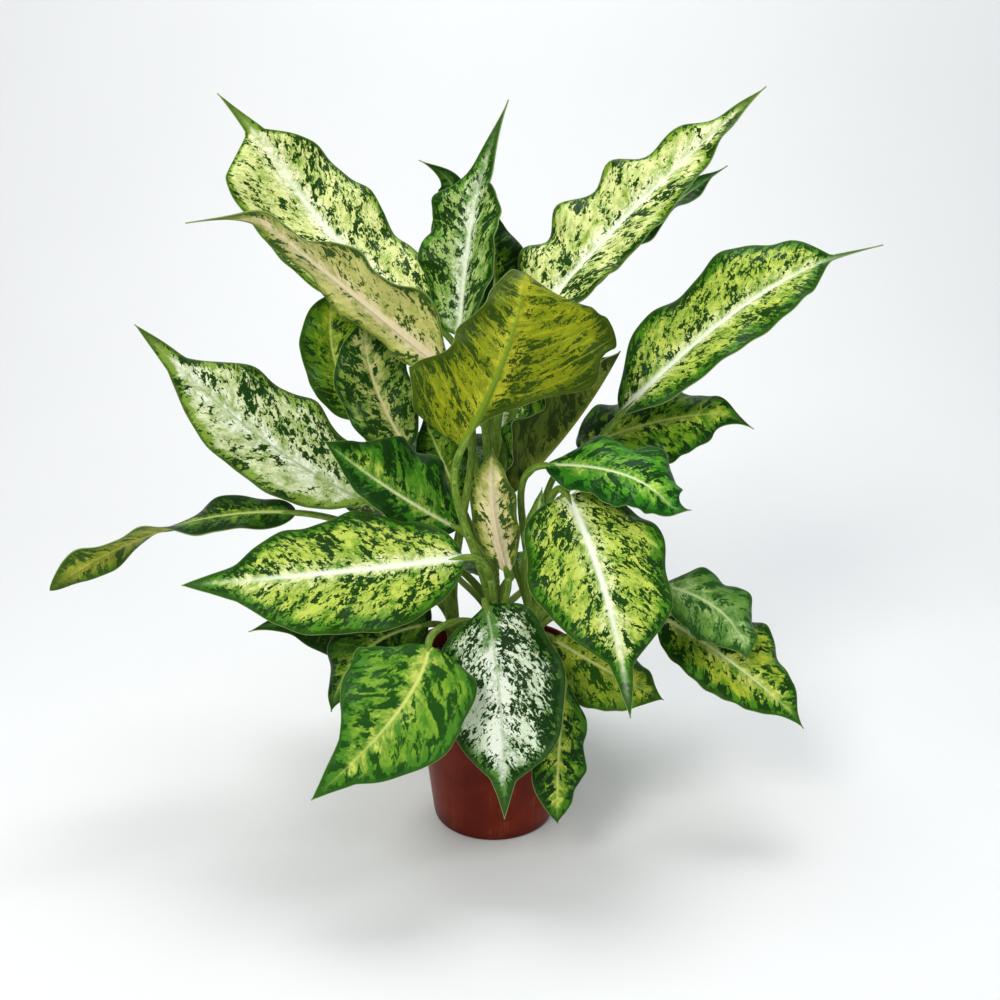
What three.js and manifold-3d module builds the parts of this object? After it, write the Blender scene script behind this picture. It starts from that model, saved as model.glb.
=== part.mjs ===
// A potted dieffenbachia: a round nursery pot, its soil, four shoots and the leaf blades.
// Millimetres, +Z up, the front is -Y. The pot's axis is the Z axis and its underside is at z = 0.
import * as THREE from 'three';
import { mergeVertices } from 'three/addons/utils/BufferGeometryUtils.js';
import Module from 'manifold-3d';

const wasm = await Module();
wasm.setup();

// Pot
const POT_HEIGHT = 136;
const RIM_RADIUS = 65;
const RIM_BAND_HEIGHT = 13;
const RIM_BAND_STEP = 2;
const RIM_ROUNDING = 0.8;
const FOOT_RADIUS = 47;
const FOOT_ROUNDING = 3;
const WALL = 1.6;
const FLOOR = 2.4;
const FLOOR_FILLET = 2;
const POT_SEGMENTS = 40;
const DRAIN_RADIUS = 4;
const DRAIN_RING_RADIUS = 30;
const DRAIN_COUNT = 6;
const HOLE_SEGMENTS = 12;

// Soil
const SOIL_TOP = 122;
const SOIL_DOME = 3;
const SOIL_SHOULDER = 0.8;
const SOIL_EDGE_DROP = 4;
const SOIL_EDGE_WIDTH = 6;
const SOIL_SLOPE_WIDTH = 26;
const SEAT_GAP = 0.3;

// Shoots: the foot of each cane in the soil and its lean
const CANE_RADIUS = 7;
const CANE_BOTTOM = 80;
const CANE_COLLAR = SOIL_TOP + 6;
const CANE_TOP_TAPER = 0.6;
const CANE_SIDES = 12;
const SHOOTS = {
  shoot_left: { foot: [-27, 2], top: [-33, 3, 172] },
  shoot_right: { foot: [27, 0], top: [33, 0, 172] },
  shoot_front: { foot: [0, -27], top: [0, -32, 168] },
  shoot_back: { foot: [0, 27], top: [0, 33, 190] },
};

// Petioles
const PETIOLE_SIDES = 6;
const PETIOLE_STEPS = 5;
const PETIOLE_FOOT_RADIUS = 4.2;
const PETIOLE_END_RADIUS = 2.4;
const LOWEST_PETIOLE = 6;
const HIGHEST_PETIOLE = 4;
const PETIOLE_RISE = 0.4;
const PETIOLE_BEND = 0.3;

// Blades
const BLADE_THICKNESS = 0.8;
const RIB_DEPTH = 1.2;
const LEAF_CELLS = { large: [14, 6], small: [8, 4] };
const WIDEST_AT = 0.42;
const BASE_ROUNDNESS = 2.4;
const BLUNT = 0.6;
const TAPER = 2.5;
const TIP_POINT = 1.45;
const TAIL_WIDTH = 0.12;
const WAVES = 3;
const WAVE_HEIGHT = 4;
const SCALLOP = 0.05;
const MARGIN_SHIFT = 0.37;
const FOLD_REACH = 0.25;
const EVEN_SHARE = 0.5;
const HOOK_START = 0.82;
const SPINE_STEP = 0.01;
const LEAST_HALF_WIDTH = 0.6;

// Each blade: where its base, middle and tip stand, its full width, which way its upper face looks,
// how far its halves fold up from the midrib and curl at the margins (degrees), and its twist.
// Where a blade differs from the common form: widest and slant give the place of the greatest width,
// skew makes the right half the wider one, blunt and taper round the base and the tip (a pair is for
// the left and the right half), point makes the tip pointed or round, tail draws it out thin with
// thread as the width it starts from, hook moves it to the side, and waves, phase, wave and scallop
// are the number, start, height and depth of the margin's waves.
const LEAVES = {
  leaf_top_left: {
    shoot: 'shoot_back', base: [-45, 48, 378], mid: [-128, 90, 446], tip: [-188, 98, 535],
    width: 98, face: [0.5, -0.8, 0.35], fold: 12, curl: -12, twist: -12, widest: 0.6,
    slant: -0.06, blunt: 0.7, taper: [6, 4.5], tail: 0.08, hook: [-20, 0, 10], phase: 0.3,
  },
  leaf_top_left_lower: {
    shoot: 'shoot_left', base: [-34, 0, 350], mid: [-106, 8, 408], tip: [-178, 0, 468],
    width: 66, face: [0.35, 0.65, 0.65], fold: 12, curl: -10, twist: 40, slant: 0.1, skew: -0.18,
    hook: [-32, 0, -18],
  },
  leaf_top_centre: {
    shoot: 'shoot_back', base: [-25, 35, 370], mid: [-17, 50, 442], tip: [-7, 60, 491],
    width: 70, face: [-0.6, -0.8, 0.1], fold: 28, curl: -10, taper: 3, hook: [18, 0, 45],
    phase: 0.5,
  },
  leaf_top_behind: {
    shoot: 'shoot_back', base: [-15, 65, 370], mid: [-25, 85, 440], tip: [-35, 95, 495],
    width: 44, face: [0, -0.9, 0.3], fold: 20, curl: -10, hook: [-22, 0, 2], size: 'small',
  },
  leaf_top_hidden: {
    shoot: 'shoot_back', base: [0, 75, 365], mid: [0, 95, 415], tip: [-5, 110, 465],
    width: 52, face: [0, -0.9, 0.3], fold: 15, curl: -10, size: 'small',
  },
  leaf_top_right: {
    shoot: 'shoot_back', base: [34, 36, 387], mid: [107, 70, 462], tip: [196, 85, 544],
    width: 81, face: [-0.6, -0.7, 0.45], fold: 26, curl: -15, widest: 0.36, skew: -0.12,
    blunt: [0.3, 0.45], taper: [2, 2.5], hook: [6, 0, 4], wave: 4, waves: 4.8, scallop: 0.09,
    phase: 0.92,
  },
  leaf_top_right_behind: {
    shoot: 'shoot_back', base: [59, 60, 397], mid: [117, 95, 447], tip: [182, 110, 494],
    width: 34, face: [-0.3, -0.3, 0.8], fold: 15, curl: -10, size: 'small',
  },
  leaf_centre_large: {
    shoot: 'shoot_front', base: [-20, -60, 306], mid: [11, -60, 374], tip: [22, -20, 427],
    width: 122, face: [0, 0.95, 0.1], fold: 16, curl: -6, widest: 0.42, slant: -0.22,
    skew: -0.13, blunt: [3.2, 0.32], taper: [3.2, 0.62], point: 0.6, hook: [0, 18, -10], wave: 5,
    waves: 3.6, scallop: 0.08,
  },
  leaf_centre_folded: {
    shoot: 'shoot_right', base: [14, -9, 264], mid: [57, -4, 311], tip: [90, 1, 363],
    width: 86, face: [-0.8, 0, 0.6], fold: 65, curl: -15,
  },
  leaf_left_back: {
    shoot: 'shoot_left', base: [-105, 50, 305], mid: [-125, 70, 355], tip: [-125, 85, 400],
    width: 62, face: [0.3, -0.9, 0.2], fold: 15, curl: -15, skew: 0.22, taper: 3.4,
  },
  leaf_left_back_inner: {
    shoot: 'shoot_left', base: [-65, 35, 284], mid: [-92, 51, 336], tip: [-96, 51, 384],
    width: 58, face: [0.2, -0.9, 0.2], fold: 15, curl: -15,
  },
  leaf_left_white: {
    shoot: 'shoot_left', base: [-90, -10, 255], mid: [-172, 10, 300], tip: [-253, 5, 381],
    width: 78, face: [0.3, -0.8, 0.5], fold: 10, curl: -15, widest: 0.48, slant: 0.02, skew: 0.2,
    blunt: [0.85, 0.6], taper: [2.6, 2.2], tail: 0.08, waves: 3.6, scallop: 0.06, phase: 0.38,
  },
  leaf_left_green: {
    shoot: 'shoot_front', base: [-26, -12, 236], mid: [-71, -27, 268], tip: [-117, -32, 305],
    width: 60, face: [0, -0.75, 0.65], fold: 12, curl: -20, skew: 0.4,
  },
  leaf_far_left: {
    shoot: 'shoot_left', base: [-146, 5, 243], mid: [-239, -5, 234], tip: [-324, -20, 191],
    width: 42, face: [0, 0.2, 1], fold: 10, curl: -10, twist: -140, taper: 2.5, point: 0.7,
  },
  leaf_left_low: {
    shoot: 'shoot_front', base: [-20, -59, 229], mid: [-111, -74, 223], tip: [-205, -87, 219],
    width: 90, face: [0, -0.7, 0.72], fold: 10, curl: -15, taper: 2.4, tail: 0.07, wave: 2.5,
    phase: 0.75,
  },
  leaf_left_curled: {
    shoot: 'shoot_left', base: [-50, 15, 170], mid: [-100, 20, 150], tip: [-183, 10, 158],
    width: 66, face: [0, -0.6, 0.8], fold: 10, curl: -15, hook: [-6, 0, -12], size: 'small',
  },
  leaf_left_small: {
    shoot: 'shoot_left', base: [-48, -14, 162], mid: [-95, -28, 146], tip: [-120, -35, 101],
    width: 54, face: [0, -0.7, 0.7], fold: 10, curl: -15, size: 'small',
  },
  leaf_front_left: {
    shoot: 'shoot_front', base: [-42, -100, 182], mid: [-60, -134, 151], tip: [-114, -149, 98],
    width: 84, face: [0.1, -0.85, 0.5], fold: 10, curl: -15, widest: 0.38, skew: 0.05,
    blunt: [0.32, 0.75], taper: [3, 2.2], tail: 0.07, wave: 2.5, scallop: 0.03, phase: 0.1,
  },
  leaf_front_white: {
    shoot: 'shoot_front', base: [-5, -56, 193], mid: [5, -100, 143], tip: [8, -120, 66],
    width: 88, face: [-0.15, -0.85, 0.5], fold: 15, curl: -15, widest: 0.5, blunt: [0.5, 0.85],
    taper: [2.6, 2.2], tail: 0.1, phase: 0.4,
  },
  leaf_front_hanging: {
    shoot: 'shoot_front', base: [50, -72, 140], mid: [45, -92, 90], tip: [45, -95, 46],
    width: 40, face: [0.3, -0.9, 0.1], fold: 10, curl: -10, wave: 2, size: 'small',
  },
  leaf_front_right: {
    shoot: 'shoot_right', base: [51, -45, 269], mid: [73, -100, 219], tip: [88, -130, 145],
    width: 93, face: [0.05, -0.9, 0.4], fold: 12, curl: -20, widest: 0.36, skew: -0.03,
    blunt: [0.4, 0.4], taper: [3, 2.4], tail: 0.14, phase: 0.7,
  },
  leaf_right_small: {
    shoot: 'shoot_right', base: [37, -30, 287], mid: [94, -55, 284], tip: [124, -70, 257],
    width: 62, face: [0.1, -0.55, 0.8], fold: 20, curl: -25, skew: -0.15, hook: [8, 0, 9],
  },
  leaf_right_high: {
    shoot: 'shoot_right', base: [95, 20, 315], mid: [187, 40, 393], tip: [265, 45, 430],
    width: 80, face: [-0.51, -0.7, 0.65], fold: 26, curl: -15, skew: -0.1, taper: [5, 3.4],
    tail: 0.11, thread: 0.05, hook: [20, 0, 5],
  },
  leaf_right_dark: {
    shoot: 'shoot_right', base: [65, 30, 285], mid: [125, 40, 305], tip: [187, 20, 315],
    width: 76, face: [0, -0.6, 0.8], fold: 10, curl: -20, hook: [6, 0, -12],
  },
  leaf_right_grey: {
    shoot: 'shoot_right', base: [125, -20, 195], mid: [165, -35, 179], tip: [181, -50, 149],
    width: 58, face: [0.1, -0.6, 0.8], fold: 8, curl: -15, size: 'small',
  },
  leaf_right_low: {
    shoot: 'shoot_right', base: [125, -5, 165], mid: [175, -35, 140], tip: [221, -55, 104],
    width: 76, face: [0.1, -0.6, 0.8], fold: 8, curl: -15, skew: -0.22, hook: [3, 0, -6],
  },
  leaf_front_olive: {
    shoot: 'shoot_front', base: [43, -28, 157], mid: [78, -52, 144], tip: [121, -62, 124],
    width: 66, face: [0.1, -0.6, 0.8], fold: 8, curl: -15, size: 'small',
  },
  leaf_new_centre: {
    shoot: 'shoot_front', base: [10, -35, 210], mid: [0, -40, 260], tip: [0, -35, 300],
    width: 36, face: [0, 1, 0.1], fold: 35, curl: -10, size: 'small',
  },
  leaf_new_spike: {
    shoot: 'shoot_right', base: [25, -25, 225], mid: [30, -25, 244], tip: [35, -20, 269],
    width: 14, face: [0, -1, 0.1], fold: 20, curl: -10, wave: 0, size: 'small',
  },
  leaf_centre_dark: {
    shoot: 'shoot_back', base: [-25, 52, 235], mid: [-40, 58, 270], tip: [-55, 62, 305],
    width: 46, face: [0, -0.9, 0.3], fold: 15, curl: -10, size: 'small',
  },
  leaf_back_left: {
    shoot: 'shoot_back', base: [-50, 60, 200], mid: [-100, 110, 225], tip: [-150, 150, 230],
    width: 75, face: [0.2, 0, 1], fold: 12, curl: -15,
  },
  leaf_back_right: {
    shoot: 'shoot_back', base: [50, 60, 210], mid: [105, 110, 245], tip: [150, 150, 260],
    width: 75, face: [-0.2, 0, 1], fold: 12, curl: -15,
  },
  leaf_back_top: {
    shoot: 'shoot_back', base: [5, 80, 290], mid: [10, 140, 330], tip: [20, 195, 340],
    width: 80, face: [0, -0.3, 1], fold: 12, curl: -15,
  },
  leaf_back_low_left: {
    shoot: 'shoot_back', base: [-30, 70, 170], mid: [-50, 125, 165], tip: [-70, 175, 130],
    width: 75, face: [0, 0.2, 1], fold: 12, curl: -15,
  },
  leaf_back_low_right: {
    shoot: 'shoot_back', base: [30, 70, 165], mid: [55, 125, 170], tip: [75, 180, 140],
    width: 75, face: [0, 0.2, 1], fold: 12, curl: -15,
  },
  leaf_back_middle: {
    shoot: 'shoot_back', base: [-10, 75, 235], mid: [-35, 130, 265], tip: [-60, 185, 270],
    width: 80, face: [0, 0, 1], fold: 12, curl: -15,
  },
};

const vec = (p) => new THREE.Vector3(p[0], p[1], p[2]);
const radians = THREE.MathUtils.degToRad;

function material(name, color, roughness) {
  return new THREE.MeshStandardMaterial({ name, color, roughness, metalness: 0 });
}

// A quadratic curve that passes its middle point half way along
function throughPoint(base, mid, tip, t) {
  const control = mid.clone().multiplyScalar(2).addScaledVector(base, -0.5).addScaledVector(tip, -0.5);
  return base.clone().multiplyScalar((1 - t) ** 2)
    .addScaledVector(control, 2 * t * (1 - t))
    .addScaledVector(tip, t * t);
}

function spinePoint(leaf, u) {
  const p = throughPoint(vec(leaf.base), vec(leaf.mid), vec(leaf.tip), u);
  if (leaf.hook && u > HOOK_START) {
    p.addScaledVector(vec(leaf.hook), ((u - HOOK_START) / (1 - HOOK_START)) ** 2);
  }
  return p;
}

function spineDirection(leaf, u) {
  const ahead = spinePoint(leaf, Math.min(1, u + SPINE_STEP));
  return ahead.sub(spinePoint(leaf, Math.max(0, u - SPINE_STEP))).normalize();
}

// A value that holds for both halves of a blade, or one of a pair: left half, right half
function forSide(value, sign) {
  return Array.isArray(value) ? value[sign < 0 ? 0 : 1] : value;
}

// Half the blade's width along its length, as a part of the largest: a round base and a drawn-out tip
function outline(leaf, u, sign) {
  const widest = (leaf.widest ?? WIDEST_AT) + sign * (leaf.slant ?? 0);
  if (u < widest) {
    const blunt = forSide(leaf.blunt ?? BLUNT, sign);
    return Math.max(0, 1 - ((widest - u) / widest) ** BASE_ROUNDNESS) ** blunt;
  }
  const tail = leaf.tail ?? 0;
  const toTip = Math.min(1, (u - widest) / (1 - tail - widest));
  const taper = forSide(leaf.taper ?? TAPER, sign);
  const body = (1 - toTip ** taper) ** (leaf.point ?? TIP_POINT);
  const thread = leaf.thread ?? TAIL_WIDTH;
  return tail > 0 ? Math.max(body, (thread * (1 - u)) / tail) : body;
}

// The directions across the blade and out of its upper face at one place of the midrib
function bladeFrame(leaf, u) {
  const along = spineDirection(leaf, u);
  const whole = vec(leaf.tip).sub(vec(leaf.base)).normalize();
  const side = whole.cross(vec(leaf.face)).normalize();
  side.addScaledVector(along, -side.dot(along)).normalize();
  side.applyAxisAngle(along, radians((leaf.twist ?? 0) * (0.5 - u)));
  const up = side.clone().cross(along);
  return { side, up };
}

// A point of the blade: x runs from -1 at the left margin over 0 at the midrib to 1 at the right margin
function bladePoint(leaf, u, x, lift) {
  const { side, up } = bladeFrame(leaf, u);
  const sign = x < 0 ? -1 : 1;
  const far = Math.abs(x);
  const turns = (leaf.waves ?? WAVES) * u + (leaf.phase ?? 0) + MARGIN_SHIFT * sign;
  const swing = Math.sin(2 * Math.PI * turns);
  const reach = (leaf.width / 2) * (1 + (leaf.skew ?? 0) * sign) * outline(leaf, u, sign);
  const scallop = leaf.scallop ?? SCALLOP;
  const half = Math.max(LEAST_HALF_WIDTH, reach * (1 + scallop * swing));
  const angle = radians(leaf.fold) + radians(leaf.curl) * far;
  const slope = radians(leaf.fold) * Math.min(1, far / FOLD_REACH) + 2 * radians(leaf.curl) * far;
  const waveRoom = Math.min(1, half / (leaf.width / 4));
  const wave = (leaf.wave ?? WAVE_HEIGHT) * far * far * waveRoom * swing;
  return spinePoint(leaf, u)
    .addScaledVector(side, sign * (far * half * Math.cos(angle) - lift * Math.sin(slope)))
    .addScaledVector(up, far * half * Math.sin(angle) + wave + lift * Math.cos(slope));
}

function bodyFrom(vertices, triangles) {
  const geometry = new THREE.BufferGeometry();
  const numbers = vertices.flatMap((v) => v.toArray());
  geometry.setAttribute('position', new THREE.Float32BufferAttribute(numbers, 3));
  geometry.setIndex(triangles);
  geometry.computeVertexNormals();
  return geometry;
}

// A thin closed body: the upper face, the lower face with the midrib standing out of it, and the margin
function bladeGeometry(leaf) {
  const [lengthCells, widthCells] = LEAF_CELLS[leaf.size ?? 'large'];
  const row = widthCells + 1;
  const faceCount = (lengthCells + 1) * row;
  const upper = [];
  const lower = [];
  for (let i = 0; i <= lengthCells; i += 1) {
    const even = i / lengthCells;
    const eased = 0.5 - 0.5 * Math.cos(Math.PI * even);
    const u = EVEN_SHARE * even + (1 - EVEN_SHARE) * eased;
    for (let j = 0; j <= widthCells; j += 1) {
      const x = (2 * j) / widthCells - 1;
      const rib = x === 0 ? RIB_DEPTH * (1 - u) : 0;
      upper.push(bladePoint(leaf, u, x, BLADE_THICKNESS / 2));
      lower.push(bladePoint(leaf, u, x, -BLADE_THICKNESS / 2 - rib));
    }
  }
  const triangles = [];
  const top = (i, j) => i * row + j;
  const under = (i, j) => faceCount + i * row + j;
  for (let i = 0; i < lengthCells; i += 1) {
    for (let j = 0; j < widthCells; j += 1) {
      triangles.push(top(i, j), top(i, j + 1), top(i + 1, j + 1));
      triangles.push(top(i, j), top(i + 1, j + 1), top(i + 1, j));
      triangles.push(under(i, j), under(i + 1, j + 1), under(i, j + 1));
      triangles.push(under(i, j), under(i + 1, j), under(i + 1, j + 1));
    }
    triangles.push(top(i, 0), top(i + 1, 0), under(i + 1, 0));
    triangles.push(top(i, 0), under(i + 1, 0), under(i, 0));
    triangles.push(top(i, widthCells), under(i + 1, widthCells), top(i + 1, widthCells));
    triangles.push(top(i, widthCells), under(i, widthCells), under(i + 1, widthCells));
  }
  for (let j = 0; j < widthCells; j += 1) {
    triangles.push(top(0, j), under(0, j), under(0, j + 1));
    triangles.push(top(0, j), under(0, j + 1), top(0, j + 1));
    triangles.push(top(lengthCells, j), under(lengthCells, j + 1), under(lengthCells, j));
    triangles.push(top(lengthCells, j), top(lengthCells, j + 1), under(lengthCells, j + 1));
  }
  return bodyFrom([...upper, ...lower], triangles);
}

// A closed round tube through the given points, with one radius for each of them. Its last face
// looks along endDirection.
function tubeGeometry(points, radii, sides, endDirection) {
  const vertices = [];
  const triangles = [];
  let across = new THREE.Vector3(0.2, -1, 0.1);
  points.forEach((p, i) => {
    const before = points[Math.max(0, i - 1)];
    const after = points[Math.min(points.length - 1, i + 1)];
    const along = after === p && endDirection
      ? endDirection.clone()
      : after.clone().sub(before).normalize();
    across = across.clone().addScaledVector(along, -across.dot(along)).normalize();
    const third = along.clone().cross(across);
    for (let k = 0; k < sides; k += 1) {
      const a = (2 * Math.PI * k) / sides;
      vertices.push(p.clone().addScaledVector(across, radii[i] * Math.cos(a))
        .addScaledVector(third, radii[i] * Math.sin(a)));
    }
  });
  const at = (i, k) => i * sides + (k % sides);
  for (let i = 0; i < points.length - 1; i += 1) {
    for (let k = 0; k < sides; k += 1) {
      triangles.push(at(i, k), at(i, k + 1), at(i + 1, k + 1));
      triangles.push(at(i, k), at(i + 1, k + 1), at(i + 1, k));
    }
  }
  const last = points.length - 1;
  for (let k = 1; k < sides - 1; k += 1) {
    triangles.push(at(0, 0), at(0, k + 1), at(0, k));
    triangles.push(at(last, 0), at(last, k), at(last, k + 1));
  }
  return bodyFrom(vertices, triangles);
}

// The corners are merged first, and the triangles that shrink to a line at an axis are left out
function toSolid(geometry) {
  const bare = new THREE.BufferGeometry();
  bare.setAttribute('position', geometry.getAttribute('position'));
  bare.setIndex(geometry.getIndex());
  const merged = mergeVertices(bare);
  const index = merged.getIndex().array;
  const triangles = [];
  for (let i = 0; i < index.length; i += 3) {
    const [a, b, c] = index.slice(i, i + 3);
    if (a !== b && b !== c && c !== a) {
      triangles.push(a, b, c);
    }
  }
  return new wasm.Manifold(new wasm.Mesh({
    numProp: 3,
    vertProperties: new Float32Array(merged.getAttribute('position').array),
    triVerts: new Uint32Array(triangles),
  }));
}

function toGeometry(solid) {
  const mesh = solid.getMesh();
  const geometry = new THREE.BufferGeometry();
  geometry.setAttribute('position', new THREE.BufferAttribute(new Float32Array(mesh.vertProperties), 3));
  geometry.setIndex(new THREE.BufferAttribute(new Uint32Array(mesh.triVerts), 1));
  geometry.computeVertexNormals();
  return geometry;
}

// A body turned round the Z axis from a profile of [radius, height] points that starts and ends on the axis
function turned(profile, segments) {
  const points = profile.map(([radius, height]) => new THREE.Vector2(radius, height));
  return new THREE.LatheGeometry(points, segments).rotateX(Math.PI / 2);
}

// An upright round rod that stands on the given point
function rod(radius, height, segments, foot) {
  return new THREE.CylinderGeometry(radius, radius, height, segments)
    .rotateX(Math.PI / 2)
    .translate(foot[0], foot[1], foot[2] + height / 2);
}

// The outer wall's radius at a height, below the rim band
function wallRadius(z) {
  return FOOT_RADIUS + ((RIM_RADIUS - RIM_BAND_STEP - FOOT_RADIUS) * z) / POT_HEIGHT;
}

function potGeometry() {
  const bandFoot = POT_HEIGHT - RIM_BAND_HEIGHT;
  let pot = toSolid(turned([
    [0, 0],
    [FOOT_RADIUS - FOOT_ROUNDING, 0],
    [FOOT_RADIUS, FOOT_ROUNDING],
    [wallRadius(bandFoot - RIM_ROUNDING), bandFoot - RIM_ROUNDING],
    [RIM_RADIUS - RIM_ROUNDING, bandFoot],
    [RIM_RADIUS, POT_HEIGHT - RIM_ROUNDING],
    [RIM_RADIUS - RIM_ROUNDING, POT_HEIGHT],
    [RIM_RADIUS - RIM_BAND_STEP - WALL, POT_HEIGHT],
    [wallRadius(SOIL_TOP) - WALL, SOIL_TOP],
    [wallRadius(FLOOR + FLOOR_FILLET) - WALL, FLOOR + FLOOR_FILLET],
    [wallRadius(FLOOR) - WALL - FLOOR_FILLET, FLOOR],
    [0, FLOOR],
  ], POT_SEGMENTS));
  for (let i = 0; i < DRAIN_COUNT; i += 1) {
    const a = (2 * Math.PI * i) / DRAIN_COUNT;
    const foot = [DRAIN_RING_RADIUS * Math.cos(a), DRAIN_RING_RADIUS * Math.sin(a), -FLOOR];
    pot = pot.subtract(toSolid(rod(DRAIN_RADIUS, 3 * FLOOR, HOLE_SEGMENTS, foot)));
  }
  return toGeometry(pot);
}

// The soil fills the pot and has a plain hole for each cane
function soilGeometry() {
  const edge = (z) => wallRadius(z) - WALL - SEAT_GAP;
  let soil = toSolid(turned([
    [0, FLOOR + SEAT_GAP],
    [edge(FLOOR) - FLOOR_FILLET - 1, FLOOR + SEAT_GAP],
    [edge(FLOOR + FLOOR_FILLET + 1), FLOOR + FLOOR_FILLET + 1],
    [edge(SOIL_TOP - SOIL_EDGE_DROP), SOIL_TOP - SOIL_EDGE_DROP],
    [edge(SOIL_TOP) - SOIL_EDGE_WIDTH, SOIL_TOP],
    [edge(SOIL_TOP) - SOIL_SLOPE_WIDTH, SOIL_TOP + SOIL_DOME * SOIL_SHOULDER],
    [0, SOIL_TOP + SOIL_DOME],
  ], POT_SEGMENTS / 2));
  for (const shoot of Object.values(SHOOTS)) {
    const foot = [shoot.foot[0], shoot.foot[1], CANE_BOTTOM - SEAT_GAP];
    const hole = rod(CANE_RADIUS + SEAT_GAP, POT_HEIGHT - CANE_BOTTOM, CANE_SIDES, foot);
    soil = soil.subtract(toSolid(hole));
  }
  return toGeometry(soil);
}

// One petiole from its cane to just short of the blade's base
function petioleGeometry(shoot, leaf, startHeight) {
  const foot = new THREE.Vector3(shoot.foot[0], shoot.foot[1], CANE_COLLAR);
  const top = vec(shoot.top);
  const start = foot.clone().lerp(top, (startHeight - foot.z) / (top.z - foot.z));
  const along = spineDirection(leaf, 0);
  const end = vec(leaf.base).addScaledVector(along, -SEAT_GAP);
  const reach = start.distanceTo(end);
  const first = start.clone().add(new THREE.Vector3(0, 0, reach * PETIOLE_RISE));
  const second = end.clone().addScaledVector(along, -reach * PETIOLE_BEND);
  const curve = new THREE.CubicBezierCurve3(start, first, second, end);
  const points = curve.getPoints(PETIOLE_STEPS);
  const radii = points.map((p, i) => THREE.MathUtils.lerp(
    PETIOLE_FOOT_RADIUS, PETIOLE_END_RADIUS, Math.sqrt(i / PETIOLE_STEPS)));
  return tubeGeometry(points, radii, PETIOLE_SIDES, along);
}

function caneGeometry(shoot) {
  const points = [
    new THREE.Vector3(shoot.foot[0], shoot.foot[1], CANE_BOTTOM),
    new THREE.Vector3(shoot.foot[0], shoot.foot[1], CANE_COLLAR),
    vec(shoot.top),
  ];
  return tubeGeometry(points, [CANE_RADIUS, CANE_RADIUS, CANE_RADIUS * CANE_TOP_TAPER], CANE_SIDES);
}

// A cane and the petioles that grow from it, joined into one body; the lowest blades' petioles start lowest
function shootGeometry(name) {
  const shoot = SHOOTS[name];
  const own = Object.values(LEAVES).filter((leaf) => leaf.shoot === name);
  own.sort((a, b) => a.base[2] - b.base[2]);
  let body = toSolid(caneGeometry(shoot));
  own.forEach((leaf, i) => {
    const height = THREE.MathUtils.lerp(
      CANE_COLLAR + LOWEST_PETIOLE, shoot.top[2] - HIGHEST_PETIOLE, (i + 0.5) / own.length);
    body = body.add(toSolid(petioleGeometry(shoot, leaf, height)));
  });
  return toGeometry(body);
}

const group = new THREE.Group();
group.name = 'potted_dieffenbachia';

function addMesh(name, geometry, surface) {
  const mesh = new THREE.Mesh(geometry, surface);
  mesh.name = name;
  group.add(mesh);
}

addMesh('pot', potGeometry(), material('pot_plastic', '#73211a', 0.45));
addMesh('soil', soilGeometry(), material('soil', '#2c2019', 0.95));
for (const name of Object.keys(SHOOTS)) {
  addMesh(name, shootGeometry(name), material('petiole_green', '#7f9a4a', 0.5));
}
for (const [name, leaf] of Object.entries(LEAVES)) {
  addMesh(name, bladeGeometry(leaf), material('leaf_green', '#9dc04a', 0.4));
}

export default group;
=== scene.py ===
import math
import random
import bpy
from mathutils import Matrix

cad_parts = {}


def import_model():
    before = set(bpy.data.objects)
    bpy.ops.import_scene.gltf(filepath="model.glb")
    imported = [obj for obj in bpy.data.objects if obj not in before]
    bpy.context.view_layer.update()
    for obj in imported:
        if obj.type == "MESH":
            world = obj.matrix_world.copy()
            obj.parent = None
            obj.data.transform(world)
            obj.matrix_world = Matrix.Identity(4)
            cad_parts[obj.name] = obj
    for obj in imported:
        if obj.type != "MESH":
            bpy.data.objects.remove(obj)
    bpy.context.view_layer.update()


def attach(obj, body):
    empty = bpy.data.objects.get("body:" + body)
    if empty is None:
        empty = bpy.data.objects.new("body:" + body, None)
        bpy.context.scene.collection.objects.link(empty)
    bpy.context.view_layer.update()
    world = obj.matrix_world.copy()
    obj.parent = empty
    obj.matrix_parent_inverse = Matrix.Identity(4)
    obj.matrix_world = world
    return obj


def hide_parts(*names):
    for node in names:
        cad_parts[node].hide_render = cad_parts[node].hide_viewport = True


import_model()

# The looks of a potted dieffenbachia. Each leaf blade, shoot, the soil and the pot of the frame is
# replaced by a finer piece of the same form. Sizes and places are in millimetres, apart from the
# lights', and become metres as the pieces and the camera enter the scene. The front is -Y.
from types import SimpleNamespace

import bmesh
import bpy
import numpy as np
from mathutils import Euler, Vector

MM = 0.001
MM_PER_CM = 10
FULL_TURN = 2 * math.pi
TINY = 1e-9

# Camera: the photograph's height, distance and downward tilt
CAMERA_PLACE = (5, -709, 444)
CAMERA_PITCH = 15

# Lights: places and sizes in metres, power in watts
LIGHT_TARGET = (0, 0, 0.28)
LIGHTS = {
    "key": dict(place=(-0.9, -1.7, 1.7), size=0.9, power=33, tint="#fffdf8"),
    "fill": dict(place=(1.6, -1.0, 0.9), size=1.4, power=5, tint="#f8fbff"),
    "top": dict(place=(0.1, 0.3, 2.0), size=0.9, power=17, tint="#ffffff"),
}

# Floor and backdrop
FLOOR_HALF_WIDTH = 4000
FLOOR_FRONT = -3000
BACKDROP_PLACE = 1200
BACKDROP_TOP = 3200
BACKDROP_BEND = 800

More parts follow.
